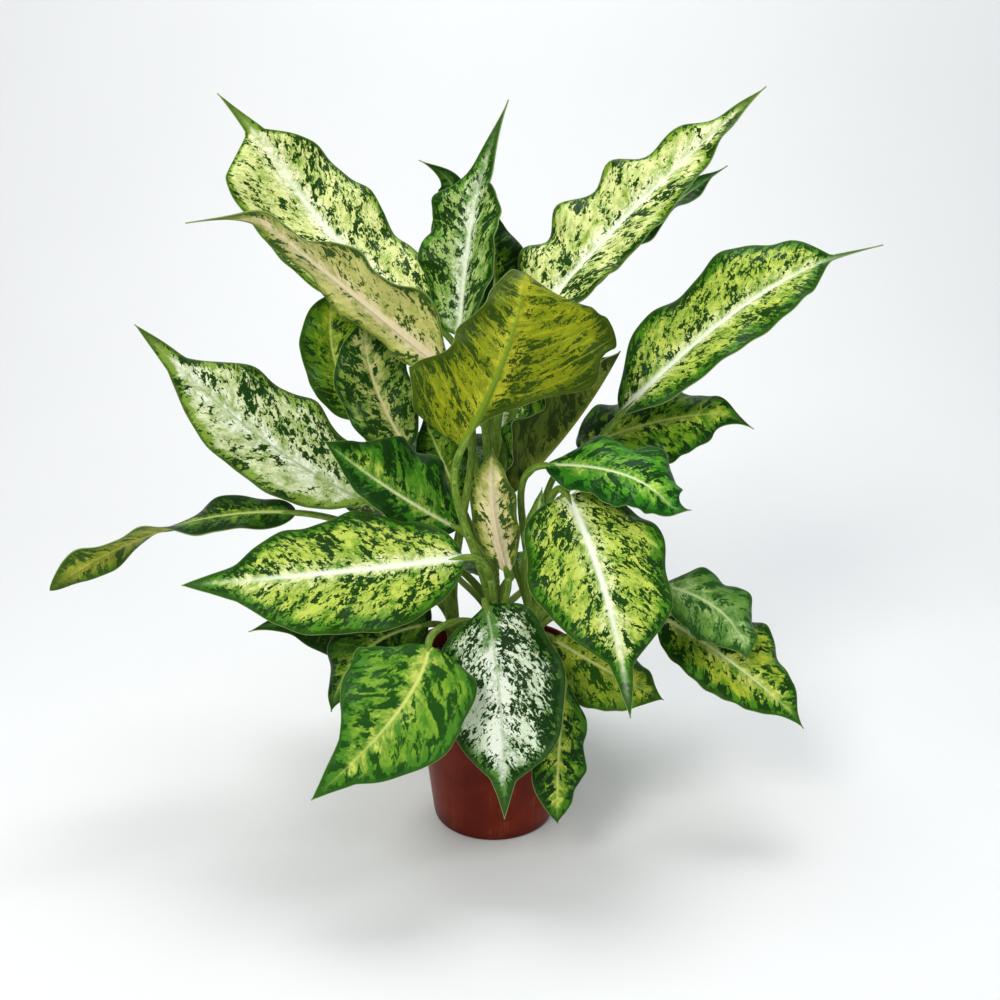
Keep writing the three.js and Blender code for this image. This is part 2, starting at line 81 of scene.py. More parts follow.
# Pot
POT_HEIGHT = 136
RIM_RADIUS = 65
RIM_BAND_HEIGHT = 13
RIM_BAND_STEP = 2
FOOT_RADIUS = 47
WALL = 1.6
FLOOR = 2.4
FLOOR_SLOPE = 3
FLAT_FOOT_INSET = 6
FOOT_ROUNDING = 2.6
FOOT_LEAN = 8
WALL_START = 6
WALL_END_DROP = 2.2
BAND_ROUNDING = 1.0
BAND_LEAN = 10
BAND_CORNER_DROP = 1.2
BAND_EDGE_RISE = 0.8
BAND_STRAIGHT_INSET = 4
RIM_ROUNDING = 0.9
LIP_ROUNDING = 0.7
DRAIN_RADIUS = 4
DRAIN_RING_RADIUS = 30
DRAIN_COUNT = 6

# Soil. Each swell has its height, then its waves and their shift along X and along Y.
SOIL_TOP = 122
SOIL_DOME = 3
SOIL_SINK = 0.6
SOIL_GAP = 0.3
SOIL_RINGS = 26
SWELLS = ((1.0, 0.31, 1.3, 0.27, 0.4), (0.6, 0.73, 0, 0.81, 2))
SWELL_HEIGHT = 0.7
SWELL_EDGE = 8

# Crumbs on the soil: ranges of their size and of their stretch, tilt and roughness
CRUMB_SEED = 11
CRUMB_COUNT = 700
CRUMB_REACH = 0.97
CRUMB_SIZE = (0.7, 2.3)
CRUMB_STRETCH = ((0.7, 1.5), (0.7, 1.2), (0.5, 0.9))
CRUMB_TURN = ((-0.5, 0.5), (-0.5, 0.5), (0, 6.3))
CRUMB_ROUGHNESS = (0.8, 1.15)
CRUMB_LIFT = 0.2
BIG_CRUMB = 1.6
BIG_CRUMB_SHARE = 0.06
ROOM_ROUND_CANE = 2

# Canes
CANE_RADIUS = 7
CANE_BOTTOM = 80
CANE_COLLAR = SOIL_TOP + 6
CANE_RINGS_BELOW = 12
CANE_RINGS_ABOVE = 24
CANE_FIRST_RING = 0.05
CANE_TAPER = 0.4
SCAR_SPACING = 9
SCAR_HEIGHT = 0.05
SCAR_SHARPNESS = 8
SHOOTS = {
    "shoot_left": dict(foot=(-27, 2), top=(-33, 3, 172)),
    "shoot_right": dict(foot=(27, 0), top=(33, 0, 172)),
    "shoot_front": dict(foot=(0, -27), top=(0, -32, 168)),
    "shoot_back": dict(foot=(0, 27), top=(0, 33, 190)),
}

# Petioles. The last few rings lie under the blade and run out into its midrib. Heights of the
# channel and the sheath wings are parts of the radius, their places and widths are in radians.
LOWEST_PETIOLE = 6
HIGHEST_PETIOLE = 4
PETIOLE_FOOT_RADIUS = 4.2
PETIOLE_END_RADIUS = 2.4
PETIOLE_RISE = 0.4
PETIOLE_BEND = 0.3
PETIOLE_STEPS = 40
END_STEPS = 4
END_REACH = (0.015, 0.06)
END_DROP = (0.7, 1.1)
END_THINNING = (0.9, 0.35)
FACING_RING = 3
FACING_NUDGE = 0.001
SHEATH_END = 0.55
CHANNEL_DEPTH = 0.22
CHANNEL_WIDTH = 0.45
WING_HEIGHT = 0.55
WING_PLACE = 0.75
WING_WIDTH = 0.28

# Blades: the common form, and the finer forms that only this scene has
HALF_THICKNESS = 0.35
BASE_ROUNDNESS = 2.4
MARGIN_SHIFT = 0.37
FOLD_REACH = 0.25
HOOK_START = 0.82
SPINE_STEP = 0.01
LEAST_HALF_WIDTH = 0.35
RIB_DEPTH = 1.7
RIB_WIDTH = 1.5
RIB_THINNING = 0.85
GROOVE_DEPTH = 0.6
RIPPLES = 8
RIPPLE_HEIGHT = 0.9
RIPPLE_SHIFT = 0.5
RIPPLE_HALF_WIDTH = 40
VEIN_SLOPE = 0.45
VEIN_CURVE = 0.06
UNDERSIDE_VEIN_SHIFT = 0.35
CELLS = {"large": (84, 44), "small": (56, 32)}
EVEN_SHARE = 0.5
CROWDING = 1.25
SEED_STEP = 1.37
NOISE_SEEDS = 10

# The common form of a blade, and each blade as in the frame: where its base, middle and tip stand,
# its full width, which way its upper face looks, how its halves fold and curl and how much it is
# twisted (degrees), the place of its greatest width (widest, slant), its uneven halves (skew), the
# rounding of its base and tip (blunt, taper, point; a pair is for the left and the right half), a
# thin end (tail, thread) that may turn aside (hook), the margin's waves, and its looks.
COMMON_LEAF = dict(
    fold=12, curl=-15, twist=0, widest=0.42, slant=0, skew=0, blunt=0.6, taper=2.5, point=1.45,
    tail=0, thread=0.12, hook=(0, 0, 0), waves=3, wave=4, phase=0, scallop=0.05, small=False,
    under="under_pale",
)
LEAVES = {
    "leaf_top_left": dict(
        shoot="back", base=(-45, 48, 378), mid=(-128, 90, 446), tip=(-188, 98, 535), width=98,
        face=(0.5, -0.8, 0.35), curl=-12, twist=-12, widest=0.6, slant=-0.06, blunt=0.7, taper=(6, 4.5),
        tail=0.08, hook=(-20, 0, 10), phase=0.3, look="cream_light"),
    "leaf_top_left_lower": dict(
        shoot="left", base=(-34, 0, 350), mid=(-106, 8, 408), tip=(-178, 0, 468), width=66,
        face=(0.35, 0.65, 0.65), curl=-10, twist=40, slant=0.1, skew=-0.18, hook=(-32, 0, -18),
        look="yellow_green", under="under_beige"),
    "leaf_top_centre": dict(
        shoot="back", base=(-25, 35, 370), mid=(-17, 50, 442), tip=(-7, 60, 491), width=70,
        face=(-0.6, -0.8, 0.1), fold=28, curl=-10, taper=3, hook=(18, 0, 45), phase=0.5,
        look="pale_centre"),
    "leaf_top_behind": dict(
        shoot="back", base=(-15, 65, 370), mid=(-25, 85, 440), tip=(-35, 95, 495), width=44,
        face=(0, -0.9, 0.3), fold=20, curl=-10, hook=(-22, 0, 2), small=True, look="dark"),
    "leaf_top_hidden": dict(
        shoot="back", base=(0, 75, 365), mid=(0, 95, 415), tip=(-5, 110, 465), width=52,
        face=(0, -0.9, 0.3), fold=15, curl=-10, small=True, look="dark"),
    "leaf_top_right": dict(
        shoot="back", base=(34, 36, 387), mid=(107, 70, 462), tip=(196, 85, 544), width=81,
        face=(-0.6, -0.7, 0.45), fold=26, widest=0.36, skew=-0.12, blunt=(0.3, 0.45), taper=(2, 2.5),
        hook=(6, 0, 4), waves=4.8, phase=0.92, scallop=0.09, look="cream"),
    "leaf_top_right_behind": dict(
        shoot="back", base=(59, 60, 397), mid=(117, 95, 447), tip=(182, 110, 494), width=34,
        face=(-0.3, -0.3, 0.8), fold=15, curl=-10, small=True, look="green", under="under_beige"),
    "leaf_centre_large": dict(
        shoot="front", base=(-20, -60, 306), mid=(11, -60, 374), tip=(22, -20, 427), width=122,
        face=(0, 0.95, 0.1), fold=16, curl=-6, slant=-0.22, skew=-0.13, blunt=(3.2, 0.32),
        taper=(3.2, 0.62), point=0.6, hook=(0, 18, -10), waves=3.6, wave=5, scallop=0.08,
        look="yellow_green", under="under_olive"),
    "leaf_centre_folded": dict(
        shoot="right", base=(14, -9, 264), mid=(57, -4, 311), tip=(90, 1, 363), width=86,
        face=(-0.8, 0, 0.6), fold=65, look="dark_streaked", under="under_dark"),
    "leaf_left_back": dict(
        shoot="left", base=(-105, 50, 305), mid=(-125, 70, 355), tip=(-125, 85, 400), width=62,
        face=(0.3, -0.9, 0.2), fold=15, skew=0.22, taper=3.4, look="plain_green"),
    "leaf_left_back_inner": dict(
        shoot="left", base=(-65, 35, 284), mid=(-92, 51, 336), tip=(-96, 51, 384), width=58,
        face=(0.2, -0.9, 0.2), fold=15, look="beige_mottled"),
    "leaf_left_white": dict(
        shoot="left", base=(-90, -10, 255), mid=(-172, 10, 300), tip=(-253, 5, 381), width=78,
        face=(0.3, -0.8, 0.5), fold=10, widest=0.48, slant=0.02, skew=0.2, blunt=(0.85, 0.6),
        taper=(2.6, 2.2), tail=0.08, waves=3.6, phase=0.38, scallop=0.06, look="white"),
    "leaf_left_green": dict(
        shoot="front", base=(-26, -12, 236), mid=(-71, -27, 268), tip=(-117, -32, 305), width=60,
        face=(0, -0.75, 0.65), curl=-20, skew=0.4, look="green"),
    "leaf_far_left": dict(
        shoot="left", base=(-146, 5, 243), mid=(-239, -5, 234), tip=(-324, -20, 191), width=42,
        face=(0, 0.2, 1), fold=10, curl=-10, twist=-140, point=0.7, look="dark", under="under_yellow"),
    "leaf_left_low": dict(
        shoot="front", base=(-20, -59, 229), mid=(-111, -74, 223), tip=(-205, -87, 219), width=90,
        face=(0, -0.7, 0.72), fold=10, taper=2.4, tail=0.07, wave=2.5, phase=0.75, look="lime"),
    "leaf_left_curled": dict(
        shoot="left", base=(-50, 15, 170), mid=(-100, 20, 150), tip=(-183, 10, 158), width=66,
        face=(0, -0.6, 0.8), fold=10, hook=(-6, 0, -12), small=True, look="dark"),
    "leaf_left_small": dict(
        shoot="left", base=(-48, -14, 162), mid=(-95, -28, 146), tip=(-120, -35, 101), width=54,
        face=(0, -0.7, 0.7), fold=10, small=True, look="dark"),
    "leaf_front_left": dict(
        shoot="front", base=(-42, -100, 182), mid=(-60, -134, 151), tip=(-114, -149, 98),
        width=84, face=(0.1, -0.85, 0.5), fold=10, widest=0.38, skew=0.05, blunt=(0.32, 0.75),
        taper=(3, 2.2), tail=0.07, wave=2.5, phase=0.1, scallop=0.03, look="sheen"),
    "leaf_front_white": dict(
        shoot="front", base=(-5, -56, 193), mid=(5, -100, 143), tip=(8, -120, 66), width=88,
        face=(-0.15, -0.85, 0.5), fold=15, widest=0.5, blunt=(0.5, 0.85), taper=(2.6, 2.2), tail=0.1,
        phase=0.4, look="white_speckled"),
    "leaf_front_hanging": dict(
        shoot="front", base=(50, -72, 140), mid=(45, -92, 90), tip=(45, -95, 46), width=40,
        face=(0.3, -0.9, 0.1), fold=10, curl=-10, wave=2, small=True, look="dark_streaked"),
    "leaf_front_right": dict(
        shoot="right", base=(51, -45, 269), mid=(73, -100, 219), tip=(88, -130, 145), width=93,
        face=(0.05, -0.9, 0.4), curl=-20, widest=0.36, skew=-0.03, blunt=(0.4, 0.4), taper=(3, 2.4),
        tail=0.14, phase=0.7, look="lime"),
    "leaf_right_small": dict(
        shoot="right", base=(37, -30, 287), mid=(94, -55, 284), tip=(124, -70, 257), width=62,
        face=(0.1, -0.55, 0.8), fold=20, curl=-25, skew=-0.15, hook=(8, 0, 9), look="saturated"),
    "leaf_right_high": dict(
        shoot="right", base=(95, 20, 315), mid=(187, 40, 393), tip=(265, 45, 430), width=80,
        face=(-0.51, -0.7, 0.65), fold=26, skew=-0.1, taper=(5, 3.4), tail=0.11, thread=0.05,
        hook=(20, 0, 5), look="lime"),
    "leaf_right_dark": dict(
        shoot="right", base=(65, 30, 285), mid=(125, 40, 305), tip=(187, 20, 315), width=76,
        face=(0, -0.6, 0.8), fold=10, curl=-20, hook=(6, 0, -12), look="dark_streaked"),
    # Its grey look paints the grazing reflection on this blade as a grey-green sheen.
    "leaf_right_grey": dict(
        shoot="right", base=(125, -20, 195), mid=(165, -35, 179), tip=(181, -50, 149), width=58,
        face=(0.1, -0.6, 0.8), fold=8, small=True, look="grey"),
    "leaf_right_low": dict(
        shoot="right", base=(125, -5, 165), mid=(175, -35, 140), tip=(221, -55, 104), width=76,
        face=(0.1, -0.6, 0.8), fold=8, skew=-0.22, hook=(3, 0, -6), look="yellow_green"),
    "leaf_front_olive": dict(
        shoot="front", base=(43, -28, 157), mid=(78, -52, 144), tip=(121, -62, 124), width=66,
        face=(0.1, -0.6, 0.8), fold=8, small=True, look="olive"),
    "leaf_new_centre": dict(
        shoot="front", base=(10, -35, 210), mid=(0, -40, 260), tip=(0, -35, 300), width=36,
        face=(0, 1, 0.1), fold=35, curl=-10, small=True, look="new", under="under_beige"),
    "leaf_new_spike": dict(
        shoot="right", base=(25, -25, 225), mid=(30, -25, 244), tip=(35, -20, 269), width=14,
        face=(0, -1, 0.1), fold=20, curl=-10, wave=0, small=True, look="new"),
    "leaf_centre_dark": dict(
        shoot="back", base=(-25, 52, 235), mid=(-40, 58, 270), tip=(-55, 62, 305), width=46,
        face=(0, -0.9, 0.3), fold=15, curl=-10, small=True, look="dark"),
    "leaf_back_left": dict(
        shoot="back", base=(-50, 60, 200), mid=(-100, 110, 225), tip=(-150, 150, 230), width=75,
        face=(0.2, 0, 1), look="lime"),
    "leaf_back_right": dict(
        shoot="back", base=(50, 60, 210), mid=(105, 110, 245), tip=(150, 150, 260), width=75,
        face=(-0.2, 0, 1), look="cream"),
    "leaf_back_top": dict(
        shoot="back", base=(5, 80, 290), mid=(10, 140, 330), tip=(20, 195, 340), width=80,
        face=(0, -0.3, 1), look="lime"),
    "leaf_back_low_left": dict(
        shoot="back", base=(-30, 70, 170), mid=(-50, 125, 165), tip=(-70, 175, 130), width=75,
        face=(0, 0.2, 1), look="green"),
    "leaf_back_low_right": dict(
        shoot="back", base=(30, 70, 165), mid=(55, 125, 170), tip=(75, 180, 140), width=75,
        face=(0, 0.2, 1), look="yellow_green"),
    "leaf_back_middle": dict(
        shoot="back", base=(-10, 75, 235), mid=(-35, 130, 265), tip=(-60, 185, 270), width=80,
        face=(0, 0, 1), look="dark"),
}
LEAVES = {name: COMMON_LEAF | leaf for name, leaf in LEAVES.items()}

# Colours, from the cream and lime of the mottled ground to the deep green of the dark margins
WHITE = "#eef5df"
CREAM = "#f1f0c6"
PALE_LIME = "#dde396"
LIME = "#c0cf58"
FRESH = "#7a9f2a"
GRASS = "#4a821a"
DEEP = "#1a3c0d"

# Each look: the ground near the midrib (inner) and away from it (outer), the green of the shade,
# the dark of the spots and the midrib's colour (rib); how much the spots cover, how far they
# stretch along the veins, how many fit in a centimetre (scale), how soft their edges are; the
# margin's width in centimetres and how much green lies in patches; the midrib's half width, how
# blurred its edge is, how far its rays reach in centimetres and their colour (ray); how much of
# that colour lies round it (halo), how much green at the blade's base, how much more dark on the
# right half (lean), and how clear the lines along the veins are.
COMMON_LOOK = dict(
    dark=DEEP, stretch=1.8, soft=0.03, margin=0.3, patches=0.5, rib_width=0.06, rib_blur=0.15,
    rays=0.4, halo=0, base_green=0, lean=0, veins=0,
)
LOOKS = {
    "cream": dict(
        inner=CREAM, outer=PALE_LIME, green=FRESH, rib=WHITE, cover=0.415, stretch=1.2, scale=2.6,
        soft=0.015, patches=0.46, rib_blur=0.3, rays=1.0, halo=0.9, lean=0.04),
    "cream_light": dict(
        inner=CREAM, outer=PALE_LIME, green=FRESH, rib=WHITE, cover=0.39, stretch=1.2, scale=2.6,
        soft=0.015, patches=0.40, rib_blur=0.35, rays=1.0, halo=0.95, lean=0.04),
    "lime": dict(
        inner=PALE_LIME, outer=LIME, green=GRASS, rib=WHITE, cover=0.445, stretch=1.3, scale=2.9,
        soft=0.015, margin=0.55, patches=0.45, rib_width=0.10, rib_blur=0.28, rays=0.8, halo=0.35),
    "white": dict(
        inner="#e8eed8", outer="#d8e0b2", green="#7c9a3a", dark="#1a3b11", rib="#93ab76", cover=0.39,
        stretch=1.2, scale=2.6, soft=0.015, margin=0.40, patches=0.47, rib_width=0.03, rays=0.0,
        ray="#ecf2e2", halo=0.9, base_green=0.12, lean=0.08),
    "white_speckled": dict(
        inner="#e6ecdd", outer="#d3dfc2", green="#4f7f30", dark="#15330f", rib="#a9bd92", cover=0.44,
        stretch=1.25, scale=3.4, soft=0.012, margin=0.75, patches=0.24, rib_width=0.03, rays=0.0,
        base_green=0.35, lean=-0.05),
    "pale_centre": dict(
        inner=WHITE, outer="#bcd07e", green="#568a2a", rib=WHITE, cover=0.48, stretch=1.25, scale=2.6,
        soft=0.02, margin=0.35, rib_width=0.10, rib_blur=0.3, rays=0.9, halo=0.8),
    "green": dict(
        inner=LIME, outer="#5f9424", green="#34701a", dark="#15380b", rib="#dbe7a6", cover=0.53,
        scale=1.7, soft=0.05, margin=0.55, patches=0.66, rays=0.7),
    "saturated": dict(
        inner="#b2d458", outer="#68a62c", green="#34791a", dark="#103c0d", rib="#e0eaba", cover=0.47,
        scale=1.9, soft=0.05, margin=0.50, patches=0.56, rays=0.7),
    "dark": dict(
        inner="#98b43a", outer="#577f1c", green="#335e17", dark="#16310c", rib="#c6d680", cover=0.54,
        stretch=1.6, scale=2.0, margin=0.45, patches=0.6, rib_width=0.05, veins=0.15),
    "plain_green": dict(
        inner="#a6b634", outer="#7d9a20", green="#4a7516", dark="#1a380c", rib="#c0cc66", cover=0.42,
        stretch=1.6, scale=2.0, margin=0.7, patches=0.52, rib_width=0.05, veins=0.2),
    "dark_streaked": dict(
        inner="#c2cf52", outer="#80a326", green="#3f7217", dark="#15340c", rib="#cdd67a", cover=0.49,
        scale=2.3, margin=0.35, patches=0.58, rib_width=0.05),
    "beige_mottled": dict(
        inner="#b7b872", outer="#90a048", green="#466f22", dark="#1b3a10", rib="#d2c892", cover=0.54,
        stretch=1.3, scale=2.4, soft=0.02, margin=0.25, rib_width=0.07),
    "yellow_green": dict(
        inner="#d2da72", outer="#b2bd38", green=GRASS, rib="#e2ecb4", cover=0.455, stretch=1.5, scale=2.1,
        soft=0.02, margin=0.45, rib_width=0.08, rays=0.6),
    "sheen": dict(
        inner="#c3d060", outer="#83a930", green="#477f22", dark="#1f4a12", rib="#d2da74", cover=0.44,
        stretch=1.7, scale=1.5, soft=0.05, margin=0.5, patches=0.58, rays=0.7),
    # The grey look's grey-green ground is a painted sheen: the grazing reflection on the blade's face,
    # laid into its colours.
    "grey": dict(
        inner="#a9c47c", outer="#6d9440", green="#4a7a30", dark="#264f1a", rib="#bcd094", cover=0.46,
        stretch=1.9, scale=1.9, soft=0.05, margin=0.35, rib_width=0.05, rays=0.6),
    "olive": dict(
        inner="#b4c044", outer="#8f9f2a", green="#5a7f1e", dark="#264a10", rib="#cdd482", cover=0.46,
        stretch=1.6, scale=2.2, soft=0.02, margin=0.40, patches=0.48, rays=0.5),
    "new": dict(
        inner="#cdd494", outer="#9db25c", green="#6c9238", dark="#33561c", rib="#d8deb0", cover=0.34,
        stretch=2.0, scale=2.4, margin=0.2, patches=0.4, rays=0.3),
    "under_pale": dict(
        inner="#c4cc90", outer="#98b060", green="#648f38", dark="#2f5620", rib="#cdd8a2", cover=0.38,
        stretch=1.5, scale=2.2, soft=0.04, patches=0.4, rib_width=0.12, rays=0.3),
    "under_olive": dict(
        inner="#b0b22c", outer="#8b9414", green="#5d700e", dark="#2f460a", rib="#6f8a22", cover=0.42,
        stretch=2.0, scale=3.4, margin=0.8, patches=0.46, rib_width=0.20, rays=0.0, veins=0.35),
    "under_dark": dict(
        inner="#7a8430", outer="#56671c", green="#3f5414", dark="#26380c", rib="#7f8c34", cover=0.46,
        stretch=2.0, scale=2.2, soft=0.04, rib_width=0.12, rays=0.0),
    "under_beige": dict(
        inner="#e8d9a8", outer="#d0cc7c", green="#8f9c3c", dark="#3a5420", rib="#e6d6ae", cover=0.34,
        stretch=1.4, scale=2.2, soft=0.02, patches=0.38, rib_width=0.34, rays=0.5),
    "under_yellow": dict(
        inner="#b2ac40", outer="#8f9a2e", green="#5f7f22", dark="#35501a", rib="#c2c25c", cover=0.42,
        scale=2.2, soft=0.04, margin=0.25, rib_width=0.08, rays=0.3),
}
LOOKS = {name: COMMON_LOOK | look for name, look in LOOKS.items()}

# Mottling. Distances are in centimetres, noises and levels lie between 0 and 1. The fields are
# the noises and places of leaf_fields, and a field's weight is how much it adds to a level.
SWAYING = ("specks", "patches", "clouds", "rays")
SPECKS_PER_SPOT = 2.6
SPECK_TURN = 0.6
RAY_LENGTHENING = 0.14
RAY_SEED = 6.0
UNDERSIDE_SEED = 5
MARGIN_REACH = 2.6
SHADE_LEVEL = 0.76
SHADE_PER_PATCHES = 0.45
HALF_GREEN = 0.55
SPOT_LEVEL = 0.72
SPOT_PER_COVER = 0.40
SPOT_FRINGE = 0.035
SPOT_SOFTENING = 0.015
BAND_WIDTH = 0.5
BAND_OUTSIDE = 0.10
BAND_INSIDE = 0.06
BAND_DARKNESS = 0.75
VEIN_COUNT = 6.5
VEIN_WARP = 5.0
RIB_START_WIDTH = 1.25
RIB_NARROWING = 1.2
RIB_INSIDE = 0.08
RAY_FADING = 0.42
PLEAT_COUNT = 11.0
PLEAT_WARP = 3.0
PLEAT_HEIGHT = 0.35
SPECK_HEIGHT = 0.5
SPECK_DULLNESS = 0.14
UPPER_GLOSS = 0.30
LOWER_GLOSS = 0.42
LEAF_SHEEN = 0.07
STEM_SHEEN = 0.1
POT_SHEEN = 0.1


def colour(text):
    """A hexadecimal colour as linear values."""
    parts = [int(text[i:i + 2], 16) / 255 for i in (1, 3, 5)]
    linear = [v / 12.92 if v <= 0.04045 else ((v + 0.055) / 1.055) ** 2.4 for v in parts]
    return (*linear, 1.0)


def blend(first, second, share):
    """A colour between two others, as linear values."""
    pairs = zip(colour(first), colour(second))
    return tuple(a * (1 - share) + b * share for a, b in pairs)


class Nodes:
    """Short calls for the nodes of one material. A value is a number, a colour or an output."""

    def __init__(self, name, sheen=0.5):
        self.material = bpy.data.materials.new(name)
        self.material.use_nodes = True
        self.tree = self.material.node_tree
        self.shader = self.tree.nodes["Principled BSDF"]
        self.put(self.shader.inputs["Specular IOR Level"], sheen)

    def put(self, socket, value):
        if isinstance(value, bpy.types.NodeSocket):
            self.tree.links.new(value, socket)
        else:
            socket.default_value = colour(value) if isinstance(value, str) else value

    def add(self, kind, output, inputs, **settings):
        """One output of a new node, whose inputs are given by name or number."""
        node = self.tree.nodes.new("ShaderNode" + kind)
        for name, value in settings.items():
            setattr(node, name, value)
        for key, value in inputs.items():
            self.put(node.inputs[key], value)
        return node.outputs[output]

    def split(self, vector):
        node = self.tree.nodes.new("ShaderNodeSeparateXYZ")
        self.put(node.inputs[0], vector)
        return list(node.outputs)

    def uv(self, name):
        """The two numbers of a UV map."""
        return self.split(self.add("UVMap", "UV", {}, uv_map=name))[:2]

    def position(self):
        return self.add("TexCoord", "Object", {})

    def join(self, x, y, z):
        return self.add("CombineXYZ", 0, {0: x, 1: y, 2: z})

    def math(self, kind, a, b=0.0):
        return self.add("Math", 0, {0: a, 1: b}, operation=kind)

    def plus(self, a, b):
        return self.math("ADD", a, b)

    def minus(self, a, b):
        return self.math("SUBTRACT", a, b)

    def times(self, a, b):
        return self.math("MULTIPLY", a, b)

    def sway(self, noise, amount):
        """A noise as a change to both sides of zero."""
        return self.times(self.minus(noise, 0.5), amount)

    def noise(self, vector, scale, detail=4.0, roughness=0.6, distortion=0.0):
        return self.add("TexNoise", "Fac", {
            "Vector": vector, "Scale": scale, "Detail": detail,
            "Roughness": roughness, "Distortion": distortion,
        })

    def step(self, value, none, full):
        """0 where the value is at none, 1 where it is at full, smooth between and level beyond."""
        rises = none < full
        return self.add("MapRange", "Result", {
            "Value": value, "From Min": min(none, full), "From Max": max(none, full),
            "To Min": 0.0 if rises else 1.0, "To Max": 1.0 if rises else 0.0,
        }, interpolation_type="SMOOTHSTEP")

    def mix(self, share, a, b):
        return self.add("Mix", 2, {0: share, 6: a, 7: b}, data_type="RGBA")

    def paint(self, base, tint, where, strength):
        """The tint laid over the base colour where the third value is 1."""
        return self.mix(self.times(where, strength), base, tint)

    def bump(self, height, strength, distance):
        return self.add("Bump", "Normal", {
            "Height": height, "Strength": strength, "Distance": distance,
        })

    def finish(self, base, roughness, normal=None):
        self.put(self.shader.inputs["Base Color"], base)
        self.put(self.shader.inputs["Roughness"], roughness)
        if normal is not None:
            self.put(self.shader.inputs["Normal"], normal)
        return self.material


def leaf_fields(n, look, seed):
    """Where a point lies on the blade, and the noises that its mottling is made of. The veins map
    runs across and along the lateral veins, the edges map holds the distances from the midrib and
    from the margin, and the place map the share of the blade's width and length."""
    across_veins, along_veins = n.uv("veins")
    from_rib, from_margin = n.uv("edges")
    _, along = n.uv("place")
    spot_place = n.join(across_veins, n.math("DIVIDE", along_veins, look["stretch"]), seed)
    ray_place = n.join(across_veins, n.times(along_veins, RAY_LENGTHENING), seed + RAY_SEED)
    speck_place = n.join(n.plus(across_veins, n.times(along_veins, SPECK_TURN)),
                         n.minus(along_veins, n.times(across_veins, SPECK_TURN)), seed)
    speck_scale = look["scale"] * SPECKS_PER_SPOT
    return SimpleNamespace(
        across_veins=across_veins, along_veins=along_veins, along=along,
        from_rib=from_rib, from_margin=from_margin,
        near_margin=n.step(from_margin, none=look["margin"] * MARGIN_REACH, full=0.0),
        near_rib=n.step(from_rib, none=0.7, full=0.0),
        spots=n.noise(spot_place, look["scale"], roughness=0.58, distortion=0.7),
        specks=n.noise(speck_place, speck_scale, distortion=0.4),
        rays=n.noise(ray_place, scale=5.0, detail=2.0),
        patches=n.noise(spot_place, scale=0.75, detail=3.0, roughness=0.55),
        clouds=n.noise(spot_place, scale=1.2, detail=5.0, roughness=0.7, distortion=0.4),
    )


def level(n, at, start, **weights):
    """A value plus the named fields times their weights. The noises sway to both sides of zero."""
    for name, weight in weights.items():
        field = getattr(at, name)
        change = n.sway(field, weight) if name in SWAYING else n.times(field, weight)
        start = n.plus(start, change)
    return start


def pale_ground(n, look, at):
    """The ground: paler near the midrib, streaked a little along the veins."""
    outward = n.step(at.from_rib, none=0.1, full=2.2)
    outward_weight, ray_weight = 0.7, 0.5
    drift = n.plus(n.times(outward, outward_weight), n.times(at.rays, ray_weight))
    ground = n.mix(n.step(drift, none=0.25, full=0.75), look["inner"], look["outer"])
    if look["halo"]:
        ragged = level(n, at, at.from_rib, rays=1.6)
        near_rib = n.times(n.step(ragged, none=1.0, full=0.0), n.step(at.along, none=0.95, full=0.4))
        ground = n.paint(ground, look.get("ray", look["rib"]), near_rib, look["halo"])
    return ground


def green_shade(n, look, at, base):
    """Green in patches and along the margin, with a half green round each patch."""
    shade = level(n, at, at.clouds, near_margin=0.36, specks=0.30)
    if look["base_green"]:
        near_base = n.times(n.step(at.along, none=0.32, full=0.08),
                            n.step(at.from_rib, none=1.4, full=0.3))
        shade = n.plus(shade, n.times(near_base, look["base_green"]))
    edge = SHADE_LEVEL - SHADE_PER_PATCHES * look["patches"]
    half_green = blend(look["outer"], look["green"], HALF_GREEN)
    around = n.step(shade, none=edge - 0.15, full=edge - 0.01)
    base = n.paint(base, half_green, around, strength=0.75)
    return n.mix(n.step(shade, none=edge - 0.03, full=edge + 0.12), base, look["green"])


def dark_spots(n, look, at, base):
    """Dark spots with a green fringe, more of them in patches and towards the margin, fewer near
    the midrib, and more on one half of the blade where the look leans."""
    dark = level(n, at, at.spots, specks=0.45, patches=0.70, near_margin=0.11, near_rib=-0.13)
    if look["lean"]:
        right_half = n.step(at.along_veins, none=-1.0, full=1.0)
        dark = n.plus(dark, n.sway(right_half, look["lean"]))
    edge = SPOT_LEVEL - SPOT_PER_COVER * look["cover"]
    inside = edge + look["soft"]
    outside = edge - look["soft"]
    fringe = n.step(dark, none=outside - SPOT_FRINGE, full=inside)
    spot = n.step(dark, none=outside, full=inside + SPOT_SOFTENING)
    return n.mix(spot, n.mix(fringe, base, look["green"]), look["dark"])


def dark_margin(n, look, at, base, rim_green):
    """A dark ragged band along the margin."""
    ragged = level(n, at, at.from_margin, clouds=0.9, specks=0.5)
    middle = look["margin"] * BAND_WIDTH
    band = n.step(ragged, none=middle + BAND_OUTSIDE, full=middle - BAND_INSIDE)
    return n.paint(base, rim_green, band, strength=0.85)


def vein_lines(n, look, at, base):
    """Thin pale lines along the lateral veins."""
    turns = n.plus(n.times(at.across_veins, VEIN_COUNT), n.times(at.clouds, VEIN_WARP))
    lines = n.step(n.math("SINE", turns), none=0.86, full=1.0)
    share = n.times(lines, n.step(at.from_margin, none=0.2, full=1.0))
    return n.paint(base, look["inner"], share, look["veins"])


